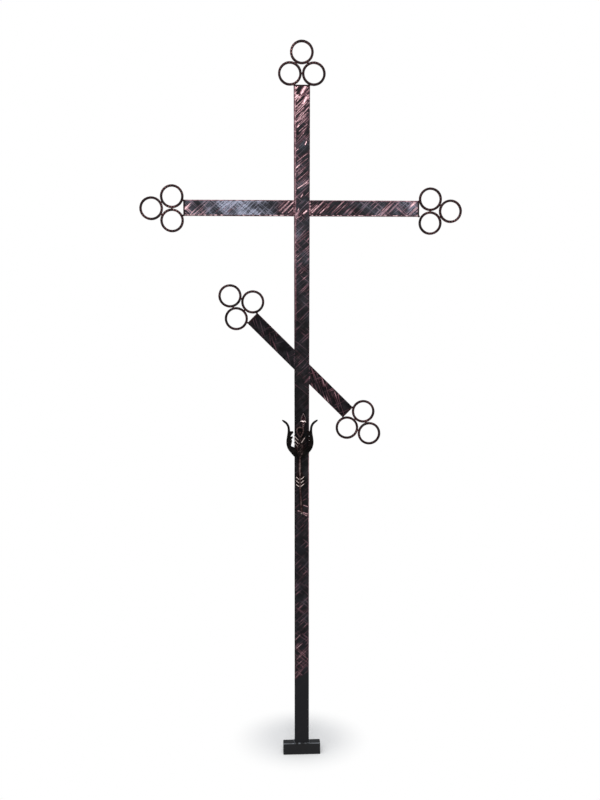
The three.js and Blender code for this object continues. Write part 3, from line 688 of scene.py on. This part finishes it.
footrestValues = {
    "shift": -4.0, "height": 1110.0, "width": 39.0, "reach": 183.0, "slant": 44.8,
    "strokePitch": 6.0, "angleSpread": 8.0, "groupLength": 50.0, "crossShare": 0.5,
    "crossBright": profile((20, 0.7), (183, 0.7)),
    "worldAngle": -72.0, "worldCross": 20.0, "finish": slantedIron,
    "strokeContrast": 1.8,
    "highCopper": profile((20, 0.05), (70, 0.07), (105, 0.2), (130, 0.14), (183, 0.08)),
    "lowCopper": profile((20, 0.08), (60, 0.1), (112, 0.24), (135, 0.13), (183, 0.08)),
    "highWash": profile((20, 0.1), (80, 0.1), (110, 0.2), (140, 0.1), (183, 0.1)),
    "lowWash": profile((20, 0.25), (90, 0.25), (115, 0.45), (140, 0.25), (183, 0.15)),
    "highSteel": profile((20, 0.06), (183, 0.05)),
    "lowSteel": profile((20, 0.06), (183, 0.05)),
    "edge": profile((20, 0.05), (183, 0.1)),
    "farEdge": profile((20, 0.1), (183, 0.12)),
    "band": profile((20, 0.04), (183, 0.06)),
    "line": profile((20, 0.1), (183, 0.14)),
    "bandSide": -1, "bandStart": 1.0,
    "marks": (),
}


# half a crossing bar, cut along the post's side, with its strokes turned to the object's frame
def makeArm(name, values, turn, seed, node):
    sin, cos = math.sin(math.radians(turn)), math.cos(math.radians(turn))
    side = math.copysign(1, sin)
    span = values["width"] / 2 / abs(sin) + abs(tube["seatReach"] * cos / sin)
    seat = float(postValues["width"](values["height"] + span)) / 2 + tube["jointGap"]
    start = (side * seat - values["shift"]) / sin
    end = values["reach"] - tube["capThickness"] - tube["jointGap"]
    angle = values["worldAngle"] + turn
    marks = [(across, along, angle, *rest) for across, along, *rest in values["marks"]]
    placed = {**values, "turn": turn, "strokeAngle": angle,
              "crossAngle": values["worldCross"] + turn, "marks": marks}
    bar = forgedBar(placed, start, end, -cos / sin, lambda at: values["width"] + 0 * at, seed)
    makePiece(name, [bar], values["finish"], [node])


# an arm's own values are those that begin with its name
def ownValues(values, name, **more):
    own = {key[len(name):].lower(): value for key, value in values.items() if key.startswith(name)}
    return {**values, **own, **more}


def makeArms():
    lower, upper = crossbarValues["lowerEdge"], crossbarValues["upperEdge"]
    left = ownValues(crossbarValues, "left", edge=lower, farEdge=upper, bandSide=1)
    right = ownValues(crossbarValues, "right", edge=upper, farEdge=lower, bandSide=-1)
    makeArm("leftArmTube", left, -90.0, 21, "left_arm")
    makeArm("rightArmTube", right, 90.0, 31, "right_arm")
    slant = footrestValues["slant"]
    makeArm("footrestHighArmTube", ownValues(footrestValues, "high"), slant - 90, 41,
            "footrest_high_arm")
    makeArm("footrestLowArmTube", ownValues(footrestValues, "low"), slant + 90, 51,
            "footrest_low_arm")


makePost()
makeArms()
print("forged bars made")

ringSizes = {
    "middle": 28.0,  # mm, the radius to the middle of the bar
    "halfWall": 3.5,
    "halfDepth": 4.0,
    "rowsAround": 150,
    "outlinePoints": 18,
    "weldRadii": (2.6, 4.4, 2.6),
    "notches": 23,
    "notchDepth": 0.35,
    "squareness": 3.4,
    "wobble": 0.18, "wobbleLength": 30, "crestLength": 60,  # mm
    "drawnIn": 0.15,  # mm, so that the crests stay inside the plain ring
}


# a rounded square outline carried round a circle; slanting hammer notches dent it and the copper
# stays on the crests between them
def ringShell(centre, seed):
    values = ringSizes
    random = np.random.default_rng(seed)
    turn = 2 * math.pi * np.arange(values["rowsAround"]) / values["rowsAround"]
    path = np.stack([centre[0] + values["middle"] * np.sin(turn), centre[1] + 0 * turn,
                     centre[2] + values["middle"] * np.cos(turn)], -1)
    section = roundOutline(values["outlinePoints"], values["squareness"])
    around = np.arctan2(section[:, 1], section[:, 0])[None]
    wave = np.sin(values["notches"] * turn[:, None] + 1.3 * np.sin(around) + random.uniform(0, 6))
    run = turn[:, None] * values["middle"]
    strength = 0.6 + 0.9 * ripple(run, around * 3, values["crestLength"], seed)
    strength = np.clip(strength, 0.1, 1.2)
    dent = values["notchDepth"] * strength * np.clip(wave, 0, 1) ** 2
    wobble = values["wobble"] * ripple(run, around * 3, values["wobbleLength"], seed + 1)
    grid = sweep(path, section, values["halfDepth"], values["halfWall"], closed=True)
    middle = path[:, None]
    sunk = (dent + values["drawnIn"] + wobble)[..., None] / values["halfWall"]
    grid = middle + (grid - middle) * (1 - sunk)
    crest = np.clip(-wave - 0.15, 0, 1) ** 1.5 * strength
    ridge = 0.6 * crest + 0.1 * strength
    return shell(grid, closeRows=True, ridge=np.clip(ridge, 0, 1), patina=0.3 * strength,
                 rubbed=0.1 + 0 * ridge)


trefoils = {
    "top": ("tip", "left", "right"),
    "left": ("tip", "lower", "upper"),
    "right": ("tip", "upper", "lower"),
    "high": ("tip", "lower", "upper"),
    "low": ("tip", "upper", "lower"),
}


def ringCentre(node):
    low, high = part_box(node)
    return np.array((low + high) / 2) * 1000


# a small lump of weld: a ball whose radius swells and shrinks with a soft random relief
def blob(centre, radii, seed, bright=0.6):
    lift = np.linspace(-1, 1, 13)[:, None] * 0.985
    turn = 2 * math.pi * np.arange(16)[None] / 16
    wide = np.sqrt(1 - lift ** 2)
    way = np.stack([wide * np.cos(turn), wide * np.sin(turn), lift + 0 * turn], -1)
    x, y, z = way[..., 0], way[..., 1], way[..., 2]
    rough = 1 + 0.22 * ripple(x * 2 + z, y * 2 - z, 2.2, seed)
    grid = np.array(centre) + way * rough[..., None] * np.array(radii)
    shine = np.clip(0.45 + 0.8 * ripple(x, z, 1.5, seed + 1), 0, 1)
    return shell(grid, ridge=bright * shine, patina=0.2, rubbed=0.1)


def makeTrefoils():
    for index, (name, places) in enumerate(trefoils.items()):
        centres = {}
        for number, place in enumerate(places):
            node = name + "_ring_" + place
            centres[place] = ringCentre(node)
            makePiece(name + "Ring" + place.capitalize(), [ringShell(
                centres[place], 100 + 10 * index + number)], ringIron, [node])
        # weld lumps where the rings touch each other
        a, b, c = (centres[place] for place in places)
        lumps = [blob((first + second) / 2, ringSizes["weldRadii"], 300 + 10 * index + number)
                 for number, (first, second) in enumerate(((a, b), (a, c), (b, c)))]
        makePiece(name + "RingWelds", lumps, ringIron)


makeTrefoils()
print("rings made")


flowerShape = {
    "middle": (-6.0, -22.3, 857.0),  # mm, its base in the object's frame
    "forward": 9.0,
    "petalPlaces": ((2.7, 1.6), (12.9, 6.3), (21.4, 15.8), (29.6, 26.4), (33.3, 36.9),
                    (34.0, 46.4), (33.0, 55.9), (30.9, 69.6), (30.6, 80.2), (32.1, 88.6),
                    (37.3, 97.1), (48.5, 105.5)),
    "petalThickness": 6.4, "hornThickness": 6.2, "petalCup": 14.3, "petalCupHalf": 10.5,
    "toothStart": 0.34, "toothShare": 0.12, "teeth": 3, "toothHalf": 10.3, "toothLean": 10.0,
    "featherPlaces": ((1.8, 1.9), (9.9, 16.1), (10.6, 36.0), (9.0, 62.0)),
    "featherHalf": 9.0, "featherThickness": 4.0,
    # the feather's barbs: width and thickness, then each one's root across and height, length,
    # lean and the brightness of its painted highlight
    "barbSize": (2.9, 3.0),
    "barbs": ((-4, 22.2, 20, -42, 0.2), (4, 22.2, 20, 42, 0.12), (-4, 31.7, 20, -42, 0.5),
              (4, 31.7, 20, 42, 0.15), (-4, 41.2, 20, -42, 0.8), (4, 41.2, 20, 42, 0.12),
              (-4, 50.7, 20, -42, 0.7), (1.2, 41.2, 25, 33, 0.8)),
    "eyeHeight": 73.0, "eyeHalfHeight": 13.5, "eyeSpread": 12.5, "eyeRim": 2.0,
    "trumpetShift": 9.0, "trumpetBase": 82.0, "trumpetTop": 101.0, "trumpetRadius": 7.0,
    "spearHalf": 7.5, "spearTall": 24.0,
    "bulbRadius": 15.5, "bulbForward": 8.5, "bulbTall": 38.0,
}


# sheet along a midrib in the XZ plane: the outline's first number runs across the sheet along Y,
# its second through the thickness. The edges bend to the axis by the square of how wide they are
# and lean on along the midrib
def sheetShell(places, rows, half, lean, thickness, cup, cupHalf, limit, bright):
    path = smoothPath([(r, 0, z) for r, z in places], rows)
    share = np.linspace(0, 1, rows)
    along = unit(np.gradient(path, axis=0))
    outward = np.stack([along[:, 2], 0 * along[:, 1], -along[:, 0]], -1)
    section = roundOutline(28, 3.0)[::-1]
    across = section[None, :, 0] * half(share)[:, None]
    through = section[None, :, 1] * thickness(share)[:, None] / 2
    curl = cup * (across / cupHalf) ** 2
    grid = (path[:, None] + np.stack([0 * across, np.clip(across, -limit, limit), 0 * across], -1)
            + outward[:, None] * (through - curl)[..., None]
            + along[:, None] * (lean(share)[:, None] * section[None, :, 0] ** 2)[..., None])
    edge = np.clip(np.abs(section[None, :, 0]) * 2 - 1.1, 0, 1) * bright(share)[:, None]
    return grid, edge


# three thorns in a row along the edge, each smaller than the one below it; each rises to its point
# on two hollow flanks
def toothAt(share):
    place = (share - flowerShape["toothStart"]) / flowerShape["toothShare"]
    inside = (place > 0) & (place < flowerShape["teeth"])
    part = np.clip(place % 1 / 0.85, 0, 1)
    point = np.clip(1.08 - np.abs(2 * part - 1), 0, 1) ** 1.15
    return np.where(inside, point * (1 - 0.09 * np.floor(place)), 0)


def sidePetal(mirror):
    values = flowerShape
    plain = profile((0, 5.0), (0.12, 9.4), (0.22, 10.5), (0.34, 7.4), (0.6, 5.8), (0.7, 4.4),
                    (0.74, 3.0), (0.94, 2.6), (1, 1.6))
    thick = values["petalThickness"]
    thickness = profile((0, 5.6), (0.05, thick), (0.68, thick), (0.74, values["hornThickness"]),
                        (0.92, 6.0), (0.97, 4.8), (1, 2.0))

    def half(share):
        point = toothAt(share)
        return plain(share) * (1 - point) + values["toothHalf"] * point

    grid, edge = sheetShell(
        values["petalPlaces"], 220, half, lambda share: values["toothLean"] * toothAt(share),
        thickness, values["petalCup"], values["petalCupHalf"], values["forward"],
        lambda share: 0.06 + 0.05 * toothAt(share))
    if mirror:
        grid = (grid * (-1, 1, 1))[:, ::-1]
        edge = edge[:, ::-1]
    return shell(grid, ridge=edge, patina=0.0, rubbed=0.0)


# a pointed barb from its root, curved a little; a narrow painted highlight lies along its front,
# brightest at mid length
def barbShell(root, length, width, thick, turn, bright):
    share = np.linspace(0, 1, 20)
    lean = math.radians(turn)
    path = np.stack([root[0] + length * share * math.sin(lean),
                     root[1] - 0.6 * np.sin(math.pi * share),
                     root[2] + length * (share * math.cos(lean) + 0.04 * (share ** 2 - share))], -1)
    size = profile((0, 0.75), (0.18, 1.0), (0.6, 0.85), (0.92, 0.5), (1, 0.15))(share)
    section = roundOutline(14, 2.2)
    grid = sweep(path, section, thick / 2 * size, width / 2 * size)
    shine = np.clip(-section[None, :, 0], 0, 1) ** 2 * bright * np.clip(
        2.6 - np.abs(share[:, None] - 0.45) * 5.2, 0, 1)
    return shell(grid, ridge=shine, patina=0.1, rubbed=0.0)


# a surface of revolution about the Z axis through (x, y), from (radius, height) pairs, squashed in
# Y and fluted by a cosine of its turn
def latheShell(x, y, pairs, squash=1.0, sides=28, flute=0.0, **given):
    radii, heights = np.array(pairs, float).T
    turn = 2 * math.pi * np.arange(sides)[None] / sides
    wide = radii[:, None] * (1 + flute * np.cos(7 * turn))
    grid = np.stack([x + wide * np.cos(turn), y + wide * np.sin(turn) * squash,
                     heights[:, None] + 0 * turn], -1)
    return shell(grid, **given)


# a rod through the places with a radius for each share of its length
def rodShell(places, radius, rows=40, sides=14, **given):
    path = smoothPath(places, rows)
    size = radius(np.linspace(0, 1, rows))
    return shell(sweep(path, roundOutline(sides), size, size), **given)


# an outline in the XZ plane drawn in towards its middle ring by ring: (share, how far forward, how
# bright)
def platedShell(corners, rings, count=64, **given):
    corners = np.array(corners, float)
    loop = np.concatenate([corners, corners[:1]])
    run = np.concatenate([[0], np.cumsum(np.linalg.norm(np.diff(loop, axis=0), axis=1))])
    steps = np.linspace(0, run[-1], count, endpoint=False)
    line = np.stack([np.interp(steps, run, loop[:, i]) for i in range(2)], -1)
    middle = corners.mean(0)
    rows = [np.stack([middle[0] + (line[:, 0] - middle[0]) * share, 0 * line[:, 0] - forward,
                      middle[1] + (line[:, 1] - middle[1]) * share], -1)
            for share, forward, _ in rings]
    ridge = np.array([[bright] * count for _, _, bright in rings])
    return shell(np.stack(rows), ridge=ridge, **given)


def makeFlower():
    values = flowerShape
    forward = values["forward"]
    shells = [sidePetal(False), sidePetal(True)]

    # the bulb swells from the stem and closes under the feather
    turn = np.radians(np.linspace(-90, 90, 26))[1:-1]
    bulb = [(values["bulbRadius"] * math.cos(t), values["bulbTall"] / 2 * (1 + math.sin(t)))
            for t in turn]
    rows, sides = np.arange(24)[:, None], np.arange(48)[None]
    speck = np.clip(0.19 + 0.3 * ripple(rows * 1.4, sides * 1.3, 4.5, 67), 0, 0.5)
    shells.append(latheShell(0, forward - values["bulbForward"], bulb,
                             values["bulbForward"] / values["bulbRadius"], 48, 0.03,
                             ridge=speck, patina=0.4, rubbed=0.05))

    # the feather's blade, its barbs in pairs and its eye
    grid, edge = sheetShell(
        values["featherPlaces"], 60,
        profile((0, 3.2), (0.25, 7.2), (0.5, 9.0), (0.75, 6.8), (1, 3.2)),
        lambda share: 0 * share, lambda share: values["featherThickness"] + 0 * share,
        1.6, values["featherHalf"], 20, lambda share: 0.16 + 0 * share)
    grid = np.stack([grid[..., 1], -grid[..., 0], grid[..., 2]], -1)
    shells.append(shell(grid, ridge=edge, patina=0.35, rubbed=0.04))
    for number, (x, z, length, lean, bright) in enumerate(values["barbs"]):
        root = (x, -forward - 0.4 - 0.3 * (number // 2), z)
        shells.append(barbShell(root, length, *values["barbSize"], lean, bright))
    turn = 2 * math.pi * np.arange(64) / 64
    rim = np.stack([values["eyeSpread"] * np.sin(turn) * (0.64 + 0.34 * np.cos(turn)),
                    0 * turn - forward - 0.2,
                    values["eyeHeight"] + values["eyeHalfHeight"] * np.cos(turn)], -1)
    section = roundOutline(12)
    grid = sweep(rim, section, values["eyeRim"], values["eyeRim"], closed=True)
    shells.append(shell(grid, closeRows=True, ridge=0.3, patina=0.2, rubbed=0.1))
    pear = [(values["eyeSpread"] * 0.9 * math.sin(t) * (0.64 + 0.34 * math.cos(t)),
             values["eyeHeight"] + values["eyeHalfHeight"] * 0.9 * math.cos(t))
            for t in np.linspace(0, -2 * math.pi, 33)[:-1]]
    shells.append(platedShell(pear, ((0.3, forward - 1.6, 0), (1, forward - 1.4, 0),
                                     (1, forward + 0.2, 0), (0.7, forward - 0.5, 0),
                                     (0.2, forward - 0.6, 0)), patina=0.02, rubbed=0.0))
    turn = np.radians(np.linspace(-80, 80, 11))
    bead = [(2.4 * math.cos(t), values["eyeHeight"] - 1 + 3.2 * math.sin(t)) for t in turn]
    shells.append(latheShell(0, -forward, bead, 1.0, 16, ridge=0.2, patina=0.1, rubbed=0.1))
    x, base, top = values["trumpetShift"], values["trumpetBase"], values["trumpetTop"]
    shells.append(rodShell([(x / 4, 0, 22), (x * 0.75, 0, 55), (x, 0, base + 1)],
                           profile((0, 2.2), (1, 2.2)), patina=0.1, rubbed=0.0))

    # the trumpet, with a rolled lip that dips in its middle, and the pointed petal out of it
    flare = [(2.3 + (values["trumpetRadius"] - 2.3) * t ** 1.8, base + (top - base) * t)
             for t in np.linspace(0, 1, 18)]
    flare += [(values["trumpetRadius"] - 0.8, top + 0.4), (3.0, top - 1.0)]
    horn = [latheShell(x, 0, flare, 1.0, 28, 0.05, ridge=0.0, patina=0.5, rubbed=0.0)]
    r = values["trumpetRadius"]
    lip = [(x - 1.1 * r, -0.35 * r, top + 0.6), (x - 0.9 * r, -0.7 * r, top + 1.8),
           (x - 0.45 * r, -0.88 * r, top + 2.0), (x, -0.92 * r, top + 1.2),
           (x + 0.45 * r, -0.88 * r, top + 1.9), (x + 0.8 * r, -0.72 * r, top + 1.0),
           (x + 1.0 * r, -0.35 * r, top - 1.6)]
    path = smoothPath(lip, 48)
    size = profile((0, 0.5), (0.15, 1.2), (0.4, 1.3), (0.5, 1.7), (0.6, 1.3), (0.85, 1.1),
                   (1, 0.5))(np.linspace(0, 1, 48))
    # the lip is fully pale copper, a painted highlight, and the lump on it a painted glint
    horn.append(shell(sweep(path, roundOutline(14), size * 0.7, size), ridge=1.0, patina=1.0,
                      rubbed=0.0))
    horn.append(blob((x - 0.2 * r, -0.85 * r, top - 0.6), (1.3, 1.0, 2.0), 77, 0.9))
    w, h = values["spearHalf"], values["spearTall"]
    spear = [(x - 0.4 * w, top - 2.6), (x + 0.4 * w, top - 2.6), (x + w, top),
             (x + 0.9 * w, top + 6), (x + 0.75 * w, top + h * 0.5), (x, top + h),
             (x - 0.75 * w, top + h * 0.5), (x - 0.9 * w, top + 6), (x - w, top)]
    horn.append(platedShell(spear, ((0.3, -1.6, 0), (0.96, -1.8, 0), (1, 0, 0.1), (0.97, 1.9, 0.42),
                                    (0.88, 2.3, 0.42), (0.76, 1.2, 0), (0.2, 1.4, 0)),
                            patina=0.35, rubbed=0.0))
    for one in shells + horn:
        one["points"] = one["points"] + np.array(values["middle"])
    makePiece("forgedFlower", shells, flowerIron, ["flower"])
    makePiece("flowerTrumpet", horn, trumpetIron)


stemShape = {
    "middle": (-6.0, -16.8, 857.0),
    "leafTop": -32.5, "leafHalf": 10.0, "leafTall": 46.0,
    "barbLength": 14.0, "barbTurn": 50.0, "barbStart": -80.0, "barbPitch": 10.0, "barbPairs": 3,
    "tail": (5.0, -153.5),
}


def makeStem():
    values = stemShape
    tailX, tailZ = values["tail"]
    shells = []
    path = smoothPath([(0, 0, -0.3), (0, 0, -18), (0, 0, -36), (0.5, 0, -60), (1, 0, -82),
                       (3, 0, -118), (tailX, 0, tailZ), (tailX, 0, tailZ - 3.2)], 110)
    share = np.linspace(0, 1, len(path))
    size = profile((0, 3.5), (0.24, 3.4), (0.36, 2.8), (0.53, 2.7), (0.75, 3.1), (0.95, 3.6),
                   (0.985, 3.2), (1, 1.2))(share)
    section = roundOutline(18)
    # down the rod's front runs a painted highlight, fading round to its sides, its strength
    # changing along the rod
    front = np.clip(-section[None, :, 0], 0, 1) ** 0.6
    worn = profile((0, 0.36), (0.45, 0.36), (0.6, 0.29), (0.93, 0.3))(share)
    worn = worn + 0.1 * ripple(path[:, 2], path[:, 2] * 0, 23, 61)
    worn = worn + 0.3 * np.clip((share - 0.96) / 0.02, 0, 1)
    shells.append(shell(sweep(path, section, size, size), ridge=front * worn[:, None],
                        patina=0.15, rubbed=0.0))
    top, half, tall = values["leafTop"], values["leafHalf"], values["leafTall"]
    body = [(-half * 0.8, top - tall), (0, top - tall * 1.05), (half * 0.8, top - tall),
            (half, top - tall * 0.4), (half * 0.55, top - tall * 0.18), (0, top),
            (-half * 0.55, top - tall * 0.18), (-half, top - tall * 0.4)]
    shells.append(platedShell(body, ((0.3, -1.4, 0), (0.97, -1.5, 0), (1, 0, 0), (0.97, 1.4, 0.2),
                                     (0.9, 1.9, 0.2), (0.78, 1.3, 0), (0.2, 1.8, 0)),
                              patina=0.3, rubbed=0.0))
    for i in range(values["barbPairs"]):
        for side in (-1, 1):
            z = values["barbStart"] + i * values["barbPitch"]
            shells.append(barbShell((side * 1.6, -1.9, z), values["barbLength"] + side, 2.6, 3.0,
                                    side * values["barbTurn"], 1.0 - 0.1 * (i % 2)))
    for one in shells:
        one["points"] = one["points"] + np.array(values["middle"])
    makePiece("flowerStem", shells, flowerIron, ["stem"])


makeFlower()
makeStem()
print("flower made")

capValues = {
    "edgeRound": 0.8,
    # the weld lumps under the rings: how far in from the corners, how far past the end, radii
    "lumpIn": 1.2, "lumpOut": 0.8, "lumpRadii": (2.8, 4.5, 2.8),
}

seamValues = {
    "halfWidth": 2.3, "halfHeight": 1.1, "ripple": 4.5,
    "points": 60,
    "planes": (-13.0, 7.0),  # the front and back faces of the bars
    # the beads along the post's sides: across, middle height, half length, how much copper, seed
    "beads": ((-21.2, 1531, 19, 0.6, 501), (21.2, 1531, 19, 0.7, 503),
              (-20.5, 1126, 25, 0.1, 505), (20.5, 1086, 25, 0.1, 507)),
}


# the tube's outline carried over the cap's thickness, drawn in over a quarter circle at both faces;
# it hands back where the weld lumps under the rings sit
def makeCap(name, values, turn, width, node):
    thickness = tube["capThickness"]
    bend = np.radians(np.linspace(0, 90, 5))
    inset = capValues["edgeRound"] * (1 - np.sin(bend))
    rise = capValues["edgeRound"] * (1 - np.cos(bend))
    steps = np.concatenate([rise, thickness - rise[::-1]])
    drawn = np.concatenate([inset, inset[::-1]])
    flat = roundRectangle(width, tube["depth"], tube["corner"])
    x = flat[None, :, 0] * (1 - 2 * drawn[:, None] / width)
    y = flat[None, :, 1] * (1 - 2 * drawn[:, None] / tube["depth"])
    along = values["reach"] - thickness + steps[:, None]
    placed = {**values, "turn": turn}
    grid = placeBar(np.stack([x, y, along + 0 * x], -1), placed)
    worn = 0.1 + 0.1 * ripple(x, y, 12, 5)
    makePiece(name, [shell(grid, ridge=worn, patina=0.25, rubbed=0.1)], ringIron,
              [node])
    across, end = width / 2 - capValues["lumpIn"], values["reach"] + capValues["lumpOut"]
    return [placeBar(np.array([side * across, 0, end]), placed) for side in (-1, 1)]


# a flattened bead of weld along a line, rippled across its run
def seamShell(places, seed, copper):
    path = smoothPath(places, seamValues["points"])
    run = np.linspace(0, np.linalg.norm(np.diff(path, axis=0), axis=1).sum(), len(path))
    swell = 1 + 0.15 * np.sin(2 * math.pi * run / seamValues["ripple"]) + 0.4 * ripple(
        run, run * 0, 12, seed)
    swell = swell * np.clip(np.minimum(run, run[-1] - run) / 3, 0.15, 1)
    section = roundOutline(12)
    grid = sweep(path, section, seamValues["halfHeight"] * swell, seamValues["halfWidth"] * swell)
    shine = np.clip(0.5 + 0.8 * ripple(run, run * 0, 7, seed + 1), 0, 1)[:, None]
    return shell(grid, ridge=copper * shine + 0 * section[None, :, 0], patina=0.3, rubbed=0.15)


def makeJoints():
    reach = postValues["reach"]
    lumps = makeCap("topCap", postValues, 0.0, float(postValues["width"](reach)), "top_cap")
    for name, turn in (("left", -90.0), ("right", 90.0)):
        lumps += makeCap(name + "ArmCap", crossbarValues, turn, crossbarValues["width"],
                         name + "_arm_cap")
    slant = footrestValues["slant"]
    for name, turn in (("High", slant - 90), ("Low", slant + 90)):
        lumps += makeCap("footrest" + name + "ArmCap", footrestValues, turn,
                         footrestValues["width"], "footrest_" + name.lower() + "_arm_cap")
    shells = [blob(place, capValues["lumpRadii"], 400 + i) for i, place in enumerate(lumps)]
    makePiece("ringSeatWelds", shells, ringIron)
    seams = [seamShell([(x, y, z - half), (x, y, z), (x, y, z + half)], seed, copper)
             for y in seamValues["planes"] for x, z, half, copper, seed in seamValues["beads"]]
    makePiece("crossingWelds", seams, forgedIron)


makeJoints()
print("caps and welds made")


footValues = {
    "width": 105.0, "depth": 26.0, "tall": 34.0,
    "corner": 2.5, "endRound": 1.6,
    "spanPoints": 60,
    # these set how bright the painted highlight is along the front edges, top and bottom
    "topEdgeHighlight": 0.45, "bottomEdgeHighlight": 0.1,  # how far the paint is worn along the front edges
    # the weld round the post's base: mm between its ripples and between its rows, how much wider
    # and deeper than the tube its line is, and how much rounder
    "beadRadius": 2.1, "beadRipple": 4.0, "beadStep": 0.8, "beadOut": 1.5, "beadRound": 0.8,
}


# the foot's outline carried along X, drawn in over a quarter circle at either end
def makeFoot():
    values = footValues
    half = values["width"] / 2
    bend = np.radians(np.linspace(0, 90, 6))
    ends = half - values["endRound"] * (1 - np.sin(bend))
    drawn = values["endRound"] * (1 - np.cos(bend))
    straight = half - values["endRound"]
    middle = np.linspace(-straight, straight, values["spanPoints"])[1:-1]
    x = np.concatenate([-ends[::-1], middle, ends])
    inset = np.concatenate([drawn[::-1], 0 * middle, drawn])
    flat = roundRectangle(values["depth"], values["tall"], values["corner"])
    y = flat[None, :, 0] * (1 - 2 * inset[:, None] / values["depth"])
    z = flat[None, :, 1] * (1 - 2 * inset[:, None] / values["tall"]) + values["tall"] / 2
    grid = np.stack([np.broadcast_to(x[:, None], y.shape), y, z], -1)
    # the painted highlight lies only in the middle of the edges' rounding: the product of how far
    # round it is each way
    offY = np.clip(-flat[None, :, 0] - values["depth"] / 2 + values["corner"], 0, None)
    offZ = np.clip(np.abs(flat[None, :, 1]) - values["tall"] / 2 + values["corner"], 0, None)
    strength = np.where(flat[None, :, 1] > 0, values["topEdgeHighlight"], values["bottomEdgeHighlight"])
    worn = (2 * offY * offZ / values["corner"] ** 2) ** 2 * strength
    worn = worn * (1 + 0.9 * ripple(x[:, None], 0 * offZ, 21, 73))
    makePiece("footBar", [shell(grid, rubbed=np.clip(worn, 0, 1))], blackPaint,
              ["foot"])
    # a rippled bead of weld round the post's base
    width = float(postValues["width"](0)) + values["beadOut"]
    line = roundRectangle(width, tube["depth"] + values["beadOut"],
                          tube["corner"] + values["beadRound"], 8, 40)[::-1]
    path = np.stack([line[:, 0], line[:, 1] + tube["midPlane"],
                     np.full(len(line), values["tall"] + 0.3)], -1)
    run = np.arange(len(path)) * values["beadStep"]
    size = values["beadRadius"] * (1 + 0.16 * np.sin(2 * math.pi * run / values["beadRipple"])
                                   + 0.25 * ripple(run, run * 0, 17, 71))
    bead = sweep(path, roundOutline(10), size, size, (0, 0, 1), closed=True)
    # its light specks are painted glints
    specks = np.clip(0.12 + 0.7 * ripple(run, run * 0, 9, 75), 0, 0.6)[:, None]
    makePiece("footWeld", [shell(bead, closeRows=True, rubbed=specks)], blackPaint)


makeFoot()
print("foot made")


stageValues = {
    "floorShadeColour": "#cccccc",
    "floorHalf": 14.0,  # metres
    "floorShadeMiddle": (0.0, 0.085, 0.0),  # metres, just behind the foot
    "floorFadeStart": 0.06,  # metres from there, where the paper starts to turn white
    "floorFadeEnd": 0.215,
    "worldLight": 0.5,
    "worldTint": "#f7faff",
    "overheadPower": 2.4,
    "overheadAngle": 60.0,  # degrees across, a wide soft source
    "overheadTilt": (22.0, -12.0),
    "softboxPower": 55.0,
    "softboxSize": (1.8, 0.9),
    "softboxPlace": (-0.2, -3.2, 2.55),
    "softboxTilt": 76.0,
}


def makeStage():
    values = stageValues
    scene = bpy.context.scene
    scene.view_settings.view_transform = "Standard"
    half = values["floorHalf"]
    mesh = bpy.data.meshes.new("floor")
    mesh.from_pydata([(-half, -half, 0), (half, -half, 0), (half, half, 0), (-half, half, 0)], [],
                     [(0, 1, 2, 3)])
    floor = bpy.data.objects.new("floor", mesh)
    # white paper: grey matte near the foot, a painted pool of shade that also takes real shadows,
    # turning to the even white of the backdrop away from the foot
    material, tree = newMaterial("whitePaperWithPaintedShade")
    shadedMatte = addNode(tree, "BsdfDiffuse", 0, {"Color": linearColour(values["floorShadeColour"])})
    glow = addNode(tree, "Emission", 0, {"Color": (1, 1, 1, 1), "Strength": 1.0})
    place = addNode(tree, "TexCoord", "Object")
    away = addNode(tree, "VectorMath", "Value", {
        0: place, 1: values["floorShadeMiddle"]}, operation="DISTANCE")
    share = addNode(tree, "MapRange", "Result", {
        "Value": away, "From Min": values["floorFadeStart"], "From Max": values["floorFadeEnd"]},
        interpolation_type="SMOOTHSTEP")
    both = addNode(tree, "MixShader", 0, {0: share, 1: shadedMatte, 2: glow})
    addNode(tree, "OutputMaterial", None, {"Surface": both})
    mesh.materials.append(material)
    scene.collection.objects.link(floor)

    # the white backdrop lights the cross less than it shows
    world = bpy.data.worlds.new("studio")
    world.use_nodes = True
    tree = world.node_tree
    tree.nodes.clear()
    seen = addNode(tree, "Background", 0, {"Strength": 1.0, "Color": (1, 1, 1, 1)})
    light = addNode(tree, "Background", 0, {
        "Strength": values["worldLight"], "Color": linearColour(values["worldTint"])})
    rays = addNode(tree, "LightPath", "Is Camera Ray")
    both = addNode(tree, "MixShader", 0, {0: rays, 1: light, 2: seen})
    addNode(tree, "OutputWorld", None, {"Surface": both})
    scene.world = world

    sun = bpy.data.lights.new("overhead", "SUN")
    sun.energy = values["overheadPower"]
    sun.angle = math.radians(values["overheadAngle"])
    lamp = bpy.data.objects.new("overhead", sun)
    lamp.rotation_euler = (*np.radians(values["overheadTilt"]), 0)
    scene.collection.objects.link(lamp)

    box = bpy.data.lights.new("softbox", "AREA")
    box.shape = "RECTANGLE"
    box.size, box.size_y = values["softboxSize"]
    box.energy = values["softboxPower"]
    lamp = bpy.data.objects.new("softbox", box)
    lamp.location = values["softboxPlace"]
    lamp.rotation_euler = (math.radians(values["softboxTilt"]), 0, 0)
    scene.collection.objects.link(lamp)


makeStage()
print("stage made")
